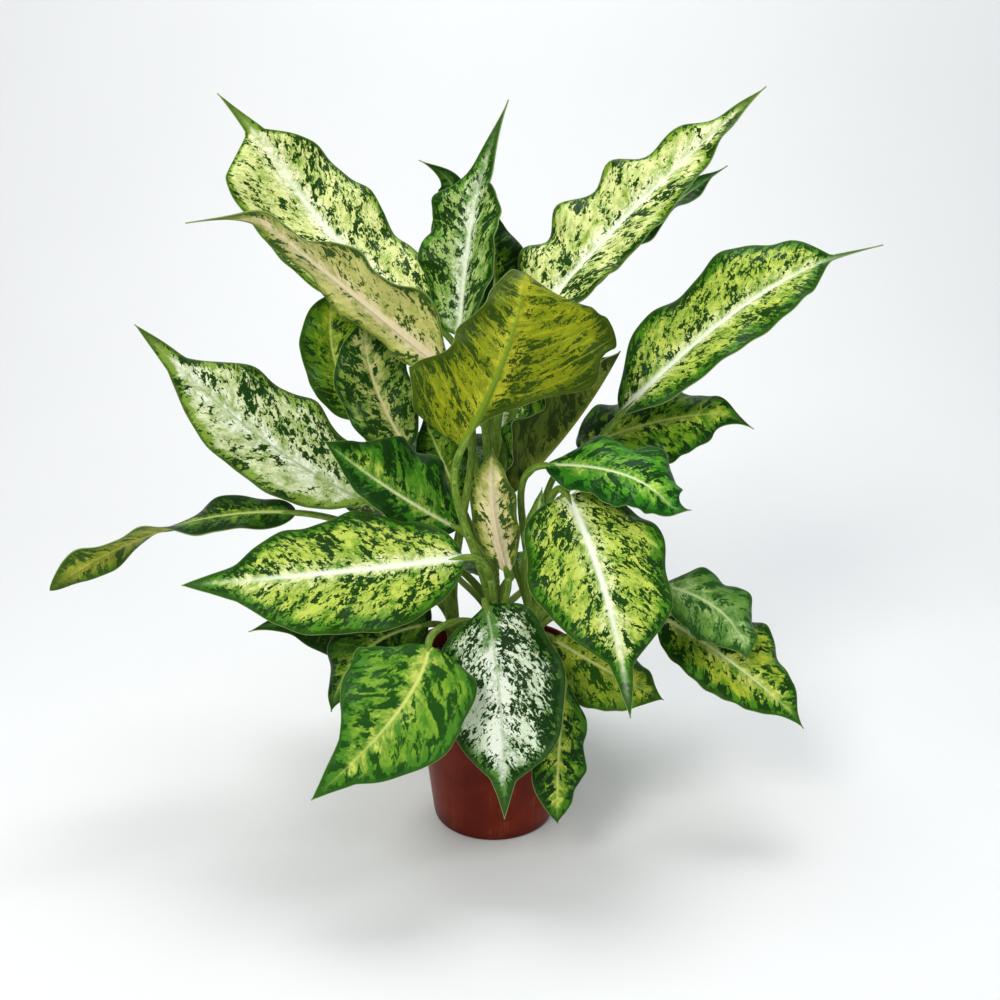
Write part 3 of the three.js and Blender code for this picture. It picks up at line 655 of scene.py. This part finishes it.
def midrib(n, look, at, base):
    """The pale midrib, broad at the base, with soft rays that run out along the veins."""
    narrowing = n.minus(RIB_START_WIDTH, n.times(at.along, RIB_NARROWING))
    past_rib = n.minus(at.from_rib, n.times(narrowing, look["rib_width"]))
    past_rib = level(n, at, past_rib, rays=0.22)
    if look["rays"]:
        reach = n.math("DIVIDE", past_rib, look["rays"])
        strong = n.step(n.minus(at.rays, n.times(reach, RAY_FADING)), none=0.42, full=0.62)
        share = n.times(strong, n.step(reach, none=1.2, full=0.1))
        share = n.times(share, n.step(at.along, none=0.95, full=0.35))
        base = n.paint(base, look.get("ray", look["rib"]), share, strength=0.65)
    inside = n.step(past_rib, none=look["rib_blur"], full=-RIB_INSIDE)
    return n.mix(n.times(inside, n.step(at.along, none=1.05, full=0.5)), base, look["rib"])


def leaf_material(name, look, seed, gloss):
    """The mottled face of one blade, with raised tissue between its veins and a fine grain."""
    n = Nodes(name, LEAF_SHEEN)
    at = leaf_fields(n, look, seed)
    rim_green = blend(look["green"], look["dark"], BAND_DARKNESS)
    base = pale_ground(n, look, at)
    base = green_shade(n, look, at, base)
    base = dark_spots(n, look, at, base)
    base = dark_margin(n, look, at, base, rim_green)
    if look["veins"]:
        base = vein_lines(n, look, at, base)
    base = midrib(n, look, at, base)
    base = n.paint(base, rim_green, n.step(at.along, none=0.88, full=0.97), strength=0.8)
    # Painted highlight: a thin pale line along the very margin, where the blade's edge catches the light.
    base = n.paint(base, "#a9c474", n.step(at.from_margin, none=0.05, full=0.02), strength=0.5)
    turns = n.plus(n.times(at.across_veins, PLEAT_COUNT), n.times(at.rays, PLEAT_WARP))
    relief = n.plus(n.times(n.math("SINE", turns), PLEAT_HEIGHT), n.times(at.specks, SPECK_HEIGHT))
    roughness = n.plus(gloss, n.times(at.specks, SPECK_DULLNESS))
    return n.finish(base, roughness, n.bump(relief, strength=0.45, distance=0.0006))


def petiole_material():
    """Fleshy stems: lengthwise streaks, pale flecks, duller sheaths near the soil."""
    stretch_around, stretch_along, fleck_stretch = 5.0, 0.35, 6.0
    n = Nodes("petiole_green", STEM_SHEEN)
    around, along = n.uv("stem")
    streak_place = n.join(n.times(around, stretch_around), n.times(along, stretch_along), 0.0)
    fleck_place = n.join(n.times(around, fleck_stretch), along, 4.0)
    streaks = n.noise(streak_place, scale=3.0)
    flecks = n.noise(fleck_place, scale=2.2, detail=3.0)
    base = n.mix(n.step(streaks, none=0.35, full=0.7), "#4c6f1c", "#86a23f")
    base = n.paint(base, "#b3c272", n.step(flecks, none=0.56, full=0.66), strength=0.45)
    _, _, height = n.split(n.position())
    low = n.step(height, none=0.20, full=0.13)
    base = n.paint(base, "#6f8040", low, strength=0.6)
    least_roughness, fleck_roughness = 0.36, 0.15
    roughness = n.plus(least_roughness, n.times(flecks, fleck_roughness))
    return n.finish(base, roughness, n.bump(streaks, strength=0.25, distance=0.0005))


def pot_material():
    """Dark red-brown moulded plastic with dusty streaks that run down from the rim."""
    streaks_around, streaks_down = 5.0, 9.0
    n = Nodes("pot_plastic", POT_SHEEN)
    x, y, z = n.split(n.position())
    turn = n.math("ARCTAN2", y, x)
    streak_place = n.join(n.times(turn, streaks_around), n.times(z, streaks_down), 0.0)
    streaks = n.noise(streak_place, scale=2.0, detail=5.0)
    dust = n.noise(n.position(), scale=38.0, detail=5.0, roughness=0.65)
    grain = n.noise(n.position(), scale=900.0, detail=2.0, roughness=0.5)
    base = n.mix(n.step(dust, none=0.35, full=0.75), "#5f1c0d", "#762613")
    dusty = n.times(n.step(streaks, none=0.52, full=0.78), n.step(dust, none=0.42, full=0.7))
    base = n.paint(base, "#b98a72", dusty, strength=0.38)
    # Painted shade: the pot darkens over its lowest 12 mm towards the floor it stands on.
    base = n.paint(base, "#3c120d", n.step(z, none=0.012, full=0.0), strength=0.5)
    least_roughness, dust_roughness, dust_height = 0.34, 0.4, 2.0
    roughness = n.plus(least_roughness, n.times(dusty, dust_roughness))
    relief = n.plus(grain, n.times(dust, dust_height))
    return n.finish(base, roughness, n.bump(relief, strength=0.12, distance=0.0004))


def soil_material():
    """Dark damp potting mix with paler fibres."""
    n = Nodes("potting_soil")
    coarse = n.noise(n.position(), scale=120.0, detail=5.0, roughness=0.7)
    fine = n.noise(n.position(), scale=600.0, roughness=0.7)
    base = n.mix(n.step(coarse, none=0.35, full=0.68), "#17100b", "#3b2a1c")
    base = n.paint(base, "#7a6248", n.step(fine, none=0.62, full=0.72), strength=0.6)
    least_roughness, fibre_roughness = 0.82, 0.15
    roughness = n.plus(least_roughness, n.times(fine, fibre_roughness))
    return n.finish(base, roughness, n.bump(n.plus(coarse, fine), strength=0.8, distance=0.002))


def new_object(name, points, faces, materials, slots=None, maps=None):
    """A mesh object, from points in millimetres. maps holds two numbers for each point, for each
    UV map's name."""
    mesh = bpy.data.meshes.new(name)
    mesh.from_pydata((vector(points) * MM).tolist(), [], [[int(k) for k in f] for f in faces])
    for material in materials:
        mesh.materials.append(material)
    if slots is not None:
        mesh.polygons.foreach_set("material_index", np.asarray(slots, dtype=np.int32))
    corners = np.empty(len(mesh.loops), dtype=np.int32)
    mesh.loops.foreach_get("vertex_index", corners)
    for map_name, values in (maps or {}).items():
        layer = mesh.uv_layers.new(name=map_name)
        layer.uv.foreach_set("vector", np.asarray(values, dtype=np.float32)[corners].ravel())
    mesh.polygons.foreach_set("use_smooth", np.ones(len(mesh.polygons), dtype=bool))
    mesh.update()
    return in_scene(name, mesh)


def in_scene(name, data):
    """An object that shows a mesh, a light or a camera, linked to the scene."""
    made = bpy.data.objects.new(name, data)
    bpy.context.scene.collection.objects.link(made)
    return made


def unit(v):
    return v / np.maximum(np.linalg.norm(v, axis=-1, keepdims=True), TINY)


def vector(values):
    return np.array(values, dtype=float)


def travelled(points):
    """How far along a line each of its points lies, in centimetres."""
    steps = np.linalg.norm(np.diff(points, axis=0), axis=1)
    return np.concatenate([[0], np.cumsum(steps)]) / MM_PER_CM


def spine(leaf, u):
    """Points of the midrib at the shares u of its length, in millimetres."""
    base, mid, tip = (vector(leaf[key]) for key in ("base", "mid", "tip"))
    control = 2 * mid - (base + tip) / 2
    u = u[:, None]
    points = (1 - u) ** 2 * base + 2 * u * (1 - u) * control + u * u * tip
    past = np.clip((u - HOOK_START) / (1 - HOOK_START), 0, None)
    return points + vector(leaf["hook"]) * past ** 2


def blade_frames(leaf, u):
    """The directions along the midrib, across the blade and out of its upper face."""
    before = spine(leaf, np.maximum(0, u - SPINE_STEP))
    after = spine(leaf, np.minimum(1, u + SPINE_STEP))
    along = unit(after - before)
    whole = unit(vector(leaf["tip"]) - vector(leaf["base"]))
    flat = unit(np.cross(whole, vector(leaf["face"])))
    side = unit(flat - along * (along @ flat)[:, None])
    turn = np.radians(leaf["twist"] * (0.5 - u))[:, None]
    side = side * np.cos(turn) + np.cross(along, side) * np.sin(turn)
    return along, side, np.cross(side, along)


def for_side(value, sign):
    """A value that holds for both halves of a blade, or one of a pair: left half, right half."""
    return value[0 if sign < 0 else 1] if isinstance(value, tuple) else value


def outline(leaf, u, sign):
    """Half the blade's width along its length, as a part of the largest."""
    widest = leaf["widest"] + sign * leaf["slant"]
    blunt = for_side(leaf["blunt"], sign)
    taper = for_side(leaf["taper"], sign)
    tail = leaf["tail"]
    to_base = np.clip((widest - u) / widest, 0, None)
    lower = np.clip(1 - to_base ** BASE_ROUNDNESS, 0, None) ** blunt
    to_tip = np.clip((u - widest) / (1 - tail - widest), 0, 1)
    upper = np.clip(1 - to_tip ** taper, 0, None) ** leaf["point"]
    if tail > 0:
        upper = np.maximum(upper, leaf["thread"] * (1 - u) / tail)
    return np.where(u < widest, lower, upper)


def blade_form(leaf, u, x, seed):
    """Both faces of the blade and its maps, on a grid of the shares u along and x across."""
    _, side, up = blade_frames(leaf, u)
    middle = spine(leaf, u)
    column = u[:, None]
    sign = np.where(x < 0, -1.0, 1.0)[None, :]
    far = np.abs(x)[None, :]
    full = leaf["width"] / 2

    # Width, with the scallops of the margin
    turns = leaf["waves"] * column + leaf["phase"] + MARGIN_SHIFT * sign
    swing = np.sin(FULL_TURN * turns)
    reach = {s: full * outline(leaf, u, s)[:, None] for s in (-1, 1)}
    share = (1 + leaf["skew"] * sign) * (1 + leaf["scallop"] * swing)
    half = np.maximum(LEAST_HALF_WIDTH, np.where(sign < 0, reach[-1], reach[1]) * share)
    distance = far * half

    # Fold of the halves, waves of the margin and finer ripples between them
    fold, curl = math.radians(leaf["fold"]), math.radians(leaf["curl"])
    angle = fold + curl * far
    slope = fold * np.minimum(1, far / FOLD_REACH) + 2 * curl * far
    room = np.minimum(1, half / (full / 2))
    wave = leaf["wave"] * far ** 2 * room * swing
    ripple = np.sin(FULL_TURN * (RIPPLES * column + seed + RIPPLE_SHIFT * sign))
    ripple_height = RIPPLE_HEIGHT * min(1.0, full / RIPPLE_HALF_WIDTH)
    wave = wave + ripple_height * far ** 3 * room * ripple

    # The two faces, with the channel above and the midrib below
    rib = (1 - RIB_THINNING * column) * np.exp(-(distance / RIB_WIDTH) ** 2)
    faces = []
    for lift in (HALF_THICKNESS - GROOVE_DEPTH * rib, -HALF_THICKNESS - RIB_DEPTH * rib):
        out = sign * (distance * np.cos(angle) - lift * np.sin(slope))
        high = distance * np.sin(angle) + wave + lift * np.cos(slope)
        across = side[:, None, :] * out[..., None]
        faces.append(middle[:, None, :] + across + up[:, None, :] * high[..., None])

    span = distance / MM_PER_CM
    slant = math.hypot(1, VEIN_SLOPE)
    start = travelled(middle)[:, None] - span * VEIN_SLOPE - VEIN_CURVE * span ** 2
    maps = {
        "veins": (start / slant, sign * span * slant),
        "edges": (span, (1 - far) * half / MM_PER_CM),
        "place": (far + 0 * half, column + 0 * half),
    }
    return faces[0], faces[1], maps


def sheet_faces(rows, row):
    """The quads of a closed sheet of two grids, one above the other: upper, lower and rim."""
    grid = np.arange(rows * row).reshape(rows, row)
    below = grid + rows * row
    a, b, c, d = grid[:-1, :-1], grid[:-1, 1:], grid[1:, 1:], grid[1:, :-1]
    upper = np.stack([a, b, c, d], -1).reshape(-1, 4)
    lower = np.stack([d, c, b, a], -1).reshape(-1, 4) + rows * row
    sides = ((grid[::-1, 0], below[::-1, 0]), (grid[:, -1], below[:, -1]),
             (grid[0, :], below[0, :]), (grid[-1, ::-1], below[-1, ::-1]))
    rim = [np.stack([line[:-1], low[:-1], low[1:], line[1:]], -1) for line, low in sides]
    return upper, lower, np.concatenate(rim)


def blade_piece(name, leaf, seed):
    """A closed thin blade with its own upper and lower materials."""
    cells_along, cells_across = CELLS["small" if leaf["small"] else "large"]
    even = np.linspace(0, 1, cells_along + 1)
    crowded = 0.5 - 0.5 * np.cos(math.pi * even)
    u = EVEN_SHARE * even + (1 - EVEN_SHARE) * crowded
    t = np.linspace(-1, 1, cells_across + 1)
    x = np.sign(t) * np.abs(t) ** CROWDING
    top, under, maps = blade_form(leaf, u, x, seed)
    upper_faces, lower_faces, rim_faces = sheet_faces(len(u), len(x))
    faces = np.concatenate([upper_faces, lower_faces, rim_faces])
    slots = [0] * len(upper_faces) + [1] * len(lower_faces) + [0] * len(rim_faces)
    points = np.concatenate([top.reshape(-1, 3), under.reshape(-1, 3)])
    flat_maps = {}
    for map_name, (first, second) in maps.items():
        pair = np.stack([first.ravel(), second.ravel()], -1)
        shift = UNDERSIDE_VEIN_SHIFT if map_name == "veins" else 0
        flat_maps[map_name] = np.concatenate([pair, pair + shift])
    noise_seed = seed * NOISE_SEEDS
    upper = leaf_material(name + "_upper", LOOKS[leaf["look"]], noise_seed, UPPER_GLOSS)
    lower = leaf_material(name + "_lower", LOOKS[leaf["under"]], noise_seed + UNDERSIDE_SEED,
                          LOWER_GLOSS)
    piece_name = name.replace("leaf_", "blade_")
    piece = new_object(piece_name, points, faces, [upper, lower], slots, flat_maps)
    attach(piece, "root")
    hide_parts(name)


def bridge(rings):
    """The faces between rings of point numbers that follow each other. One point ends a body."""
    faces = []
    for low, high in zip(rings, rings[1:]):
        for k in range(max(len(low), len(high))):
            corners = [low[k % len(low)], low[(k + 1) % len(low)]]
            corners += [high[(k + 1) % len(high)], high[k % len(high)]]
            faces.append(list(dict.fromkeys(corners)))
    return faces


def joined(parts):
    """Several bodies, each with its points, faces and map values, as one."""
    points, faces, places = [], [], []
    for own_points, own_faces, own_places in parts:
        first = len(points)
        points.extend(own_points)
        faces.extend([k + first for k in face] for face in own_faces)
        places.extend(own_places)
    return points, faces, places


def stem_tube(line, radii, shape, start_side, sides):
    """Points, faces and map of a closed tube. shape(share, turn) scales the radius."""
    line = vector(line)
    lengths = travelled(line)
    across = vector(start_side)
    points, places = [], []
    turns = np.linspace(0, FULL_TURN, sides, endpoint=False)
    for i, (centre, along) in enumerate(zip(line, unit(np.gradient(line, axis=0)))):
        across = across - along * (across @ along)
        across = across / np.linalg.norm(across)
        third = np.cross(along, across)
        share = i / (len(line) - 1)
        for turn in turns:
            reach = radii[i] * shape(share, turn)
            points.append(centre + across * reach * math.cos(turn) + third * reach * math.sin(turn))
            places.append((math.sin(turn / 2), lengths[i]))
    rings = [range(first, first + sides) for first in range(0, len(points), sides)]
    return points, bridge(rings) + [rings[0][::-1], rings[-1]], places


def bezier(a, b, c, d, count):
    t = np.linspace(0, 1, count)[:, None]
    return (1 - t) ** 3 * a + 3 * t * (1 - t) ** 2 * b + 3 * t * t * (1 - t) * c + t ** 3 * d


def petiole_path(shoot, leaf, start_height):
    """The middle line of one petiole, which runs on a little under the blade as its midrib."""
    foot = vector((*shoot["foot"], CANE_COLLAR))
    top = vector(shoot["top"])
    start = foot + (top - foot) * (start_height - foot[2]) / (top[2] - foot[2])
    along, _, up = (v[0] for v in blade_frames(leaf, vector([0])))
    end = vector(leaf["base"])
    reach = np.linalg.norm(end - start)
    rise = vector((0, 0, reach * PETIOLE_RISE))
    path = bezier(start, start + rise, end - along * reach * PETIOLE_BEND, end, PETIOLE_STEPS)
    under_blade = spine(leaf, np.linspace(*END_REACH, END_STEPS))
    drop = np.linspace(*END_DROP, END_STEPS)[:, None] * up
    return np.concatenate([path, under_blade - drop])


def petiole_shape(share, turn):
    """A round stem with a channel on its upper side, and open sheath wings on its lower part."""
    off = math.remainder(turn, FULL_TURN)
    groove = CHANNEL_DEPTH * math.exp(-(off / CHANNEL_WIDTH) ** 2)
    winged = max(0.0, 1 - share / SHEATH_END)
    wings = WING_HEIGHT * winged * math.exp(-((abs(off) - WING_PLACE) / WING_WIDTH) ** 2)
    return 1 - groove + wings


def petiole_tube(shoot, leaf, start_height):
    """One petiole, whose channel faces the middle of the pot."""
    path = petiole_path(shoot, leaf, start_height)
    t = np.linspace(0, 1, len(path))
    radii = PETIOLE_FOOT_RADIUS + (PETIOLE_END_RADIUS - PETIOLE_FOOT_RADIUS) * np.sqrt(t)
    radii[-END_STEPS:] *= np.linspace(*END_THINNING, END_STEPS)
    x, y, _ = path[FACING_RING]
    inward = (FACING_NUDGE - x, -y, 0)
    return stem_tube(path, radii, petiole_shape, inward, sides=20)


def cane_tube(shoot):
    """A cane that grows thinner from its collar up, with a leaf scar at even steps."""
    low = vector((*shoot["foot"], CANE_BOTTOM))
    collar = vector((*shoot["foot"], CANE_COLLAR))
    top = vector(shoot["top"])
    line = [low + (collar - low) * t for t in np.linspace(0, 1, CANE_RINGS_BELOW)]
    above = np.linspace(CANE_FIRST_RING, 1, CANE_RINGS_ABOVE)
    line += [collar + (top - collar) * t for t in above]
    radii = []
    for point in line:
        risen = max(0, (point[2] - CANE_COLLAR) / (top[2] - CANE_COLLAR))
        scar = math.cos(point[2] * FULL_TURN / SCAR_SPACING) ** SCAR_SHARPNESS
        radii.append(CANE_RADIUS * (1 - CANE_TAPER * risen) * (1 + SCAR_HEIGHT * scar))
    return stem_tube(line, radii, lambda share, turn: 1.0, (1, 0, 0), sides=28)


def shoot_piece(name, material):
    """A cane with the petioles that grow from it, the lowest leaf's petiole lowest."""
    shoot = SHOOTS[name]
    own = [leaf for leaf in LEAVES.values() if name == "shoot_" + leaf["shoot"]]
    own.sort(key=lambda leaf: leaf["base"][2])
    lowest = CANE_COLLAR + LOWEST_PETIOLE
    highest = shoot["top"][2] - HIGHEST_PETIOLE
    tubes = [cane_tube(shoot)]
    for i, leaf in enumerate(own):
        height = lowest + (i + 0.5) / len(own) * (highest - lowest)
        tubes.append(petiole_tube(shoot, leaf, height))
    points, faces, places = joined(tubes)
    piece = new_object(name + "_stems", points, faces, [material], maps={"stem": places})
    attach(piece, "root")
    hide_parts(name)


def wall_radius(z):
    return FOOT_RADIUS + (RIM_RADIUS - RIM_BAND_STEP - FOOT_RADIUS) * z / POT_HEIGHT


def ring(radius, height, segments):
    """Points of a circle round the Z axis."""
    turns = [FULL_TURN * k / segments for k in range(segments)]
    return [(radius * math.cos(a), radius * math.sin(a), height) for a in turns]


def turned(profile, segments):
    """A closed body turned round the Z axis from a profile that starts and ends on the axis."""
    points, rings = [], []
    for radius, height in profile:
        first = len(points)
        points.extend(ring(radius, height, segments if radius else 1))
        rings.append(range(first, len(points)))
    return points, bridge(rings)


def arc(centre, radius, start, end, count):
    """Points of a rounding, from one angle to another in degrees."""
    angles = np.radians(np.linspace(start, end, count))
    return [(centre[0] + radius * math.cos(a), centre[1] + radius * math.sin(a)) for a in angles]


def pot_profile():
    """The pot from the middle of its underside, up its outer wall and down inside to its floor."""
    band_foot = POT_HEIGHT - RIM_BAND_HEIGHT
    rise = np.linspace(WALL_START, band_foot - WALL_END_DROP, 14)
    descent = np.linspace(SOIL_TOP, FLOOR + FLOOR_SLOPE, 10)
    foot_corner = (FOOT_RADIUS - FOOT_ROUNDING, FOOT_ROUNDING)
    under_band = (wall_radius(band_foot) + BAND_ROUNDING, band_foot - BAND_CORNER_DROP)
    band_edge = (RIM_RADIUS - BAND_ROUNDING, band_foot + BAND_EDGE_RISE)
    rim_corner = (RIM_RADIUS - RIM_ROUNDING, POT_HEIGHT - RIM_ROUNDING)
    lip_radius = RIM_RADIUS - RIM_BAND_STEP - WALL
    lip_corner = (lip_radius + LIP_ROUNDING, POT_HEIGHT - LIP_ROUNDING)
    profile = [(0, 0), (FOOT_RADIUS - FLAT_FOOT_INSET, 0)]
    profile += arc(foot_corner, FOOT_ROUNDING, start=-90, end=-FOOT_LEAN, count=6)
    profile += [(wall_radius(z), z) for z in rise]
    profile += arc(under_band, BAND_ROUNDING, start=180, end=90 + BAND_LEAN, count=5)
    profile += arc(band_edge, BAND_ROUNDING, start=BAND_LEAN - 90, end=0, count=5)
    profile.append((RIM_RADIUS, band_foot + BAND_STRAIGHT_INSET))
    profile.append((RIM_RADIUS, POT_HEIGHT - BAND_STRAIGHT_INSET))
    profile += arc(rim_corner, RIM_ROUNDING, start=0, end=90, count=5)
    profile += arc(lip_corner, LIP_ROUNDING, start=90, end=180, count=4)
    profile += [(wall_radius(z) - WALL, z) for z in descent]
    profile += [(wall_radius(FLOOR) - WALL - FLOOR_SLOPE, FLOOR), (0, FLOOR)]
    return profile


def cut_drain_hole(pot, angle, material):
    low, high = -FLOOR, 2 * FLOOR
    profile = [(0, low), (DRAIN_RADIUS, low), (DRAIN_RADIUS, high), (0, high)]
    cutter = new_object("drain_cutter", *turned(profile, segments=28), [material])
    reach = DRAIN_RING_RADIUS * MM
    cutter.location = (reach * math.cos(angle), reach * math.sin(angle), 0)
    bpy.context.view_layer.update()
    cut = pot.modifiers.new("drain", "BOOLEAN")
    cut.operation = "DIFFERENCE"
    cut.object = cutter
    cut.solver = "EXACT"
    graph = bpy.context.evaluated_depsgraph_get()
    holed = bpy.data.meshes.new_from_object(pot.evaluated_get(graph))
    pot.modifiers.clear()
    pot.data = holed
    bpy.data.objects.remove(cutter)


def pot_piece(material):
    """The pot's wall, its rim band and its floor with the drain holes cut through."""
    pot = new_object("pot_wall", *turned(pot_profile(), segments=160), [material])
    for i in range(DRAIN_COUNT):
        cut_drain_hole(pot, FULL_TURN * i / DRAIN_COUNT, material)
    sharp = pot.modifiers.new("edges", "WEIGHTED_NORMAL")
    sharp.keep_sharp = True
    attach(pot, "root")
    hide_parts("pot")


def soil_height(x, y):
    """The uneven surface of the soil, in millimetres."""
    r = math.hypot(x, y)
    edge = wall_radius(SOIL_TOP) - WALL
    dome = SOIL_TOP + SOIL_DOME * (1 - (r / edge) ** 2)
    uneven = 0
    for height, wave_x, shift_x, wave_y, shift_y in SWELLS:
        uneven += height * math.sin(x * wave_x + shift_x) * math.sin(y * wave_y + shift_y)
    return dome - SOIL_SINK + SWELL_HEIGHT * uneven * min(1, (edge - r) / SWELL_EDGE)


def soil_body(edge):
    """The soil from the pot's floor up, with its uneven top."""
    low = FLOOR + SOIL_GAP
    profile = [(0, low), (wall_radius(FLOOR) - WALL - FLOOR_SLOPE - SOIL_GAP, low)]
    profile += [(edge * i / SOIL_RINGS, SOIL_TOP) for i in range(SOIL_RINGS, -1, -1)]
    points, faces = turned(profile, segments=90)
    return [(x, y, z if z == low else soil_height(x, y)) for x, y, z in points], faces, []


def crumbs(edge):
    """Crumbs and bits of bark over the soil's top, clear of the canes."""
    rng = random.Random(CRUMB_SEED)
    lump = bmesh.new()
    bmesh.ops.create_icosphere(lump, subdivisions=1, radius=1)
    corners = [v.co.copy() for v in lump.verts]
    faces = [[v.index for v in f.verts] for f in lump.faces]
    lump.free()
    feet = [shoot["foot"] for shoot in SHOOTS.values()]
    for _ in range(CRUMB_COUNT):
        r = edge * math.sqrt(rng.random()) * CRUMB_REACH
        a = rng.uniform(0, FULL_TURN)
        x, y = r * math.cos(a), r * math.sin(a)
        if any(math.hypot(x - fx, y - fy) < CANE_RADIUS + ROOM_ROUND_CANE for fx, fy in feet):
            continue
        size = rng.uniform(*CRUMB_SIZE) * (BIG_CRUMB if rng.random() < BIG_CRUMB_SHARE else 1)
        stretch = Vector([rng.uniform(*limits) for limits in CRUMB_STRETCH]) * size
        turn = Euler([rng.uniform(*limits) for limits in CRUMB_TURN])
        centre = Vector((x, y, soil_height(x, y) + size * CRUMB_LIFT))
        points = []
        for corner in corners:
            place = corner * stretch * rng.uniform(*CRUMB_ROUGHNESS)
            place.rotate(turn)
            points.append(centre + place)
        yield points, faces, []


def soil_piece(material):
    """The soil with an uneven top, covered in crumbs and bits of bark."""
    edge = wall_radius(SOIL_TOP) - WALL - SOIL_GAP
    points, faces, _ = joined([soil_body(edge), *crumbs(edge)])
    soil = new_object("soil_mix", points, faces, [material])
    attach(soil, "root")
    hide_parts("soil")


def stage():
    """A pale floor that rises behind the object into a backdrop."""
    n = Nodes("pale_floor")
    grain = n.noise(n.position(), scale=2.0, detail=3.0, roughness=0.5)
    material = n.finish(n.mix(grain, "#e6e7e8", "#eeeff0"), roughness=0.7)
    bend = (BACKDROP_PLACE - BACKDROP_BEND, BACKDROP_BEND)
    line = [(FLOOR_FRONT, 0), (BACKDROP_PLACE - BACKDROP_BEND, 0)]
    line += arc(bend, BACKDROP_BEND, start=-84.27, end=0, count=14)
    line.append((BACKDROP_PLACE, BACKDROP_TOP))
    points = [(x, y, z) for y, z in line for x in (-FLOOR_HALF_WIDTH, FLOOR_HALF_WIDTH)]
    faces = [(2 * i, 2 * i + 1, 2 * i + 3, 2 * i + 2) for i in range(len(line) - 1)]
    new_object("floor", points, faces, [material])


def light(name, place, size, power, tint):
    """A round soft light that looks at the plant."""
    data = bpy.data.lights.new(name, "AREA")
    data.shape = "DISK"
    data.size = size
    data.energy = power
    data.color = colour(tint)[:3]
    made = in_scene(name, data)
    made.location = place
    towards = Vector(LIGHT_TARGET) - Vector(place)
    made.rotation_euler = towards.to_track_quat("-Z", "Y").to_euler()


def world():
    made = bpy.data.worlds.new("studio")
    made.use_nodes = True
    background = made.node_tree.nodes["Background"]
    background.inputs["Color"].default_value = colour("#e9eef2")
    background.inputs["Strength"].default_value = 0.45
    bpy.context.scene.world = made
    bpy.context.scene.view_settings.view_transform = "Standard"


def camera():
    data = bpy.data.cameras.new("camera")
    data.sensor_width = 36
    data.lens = 36
    data.clip_start = 0.01
    made = in_scene("camera", data)
    made.location = [v * MM for v in CAMERA_PLACE]
    made.rotation_euler = (math.radians(90 - CAMERA_PITCH), 0, 0)
    bpy.context.scene.camera = made


def build():
    stems = petiole_material()
    for name in SHOOTS:
        shoot_piece(name, stems)
    for order, (name, leaf) in enumerate(LEAVES.items()):
        blade_piece(name, leaf, SEED_STEP * (order + 1))
    pot_piece(pot_material())
    soil_piece(soil_material())
    stage()
    for name, values in LIGHTS.items():
        light(name, **values)
    world()
    camera()


build()
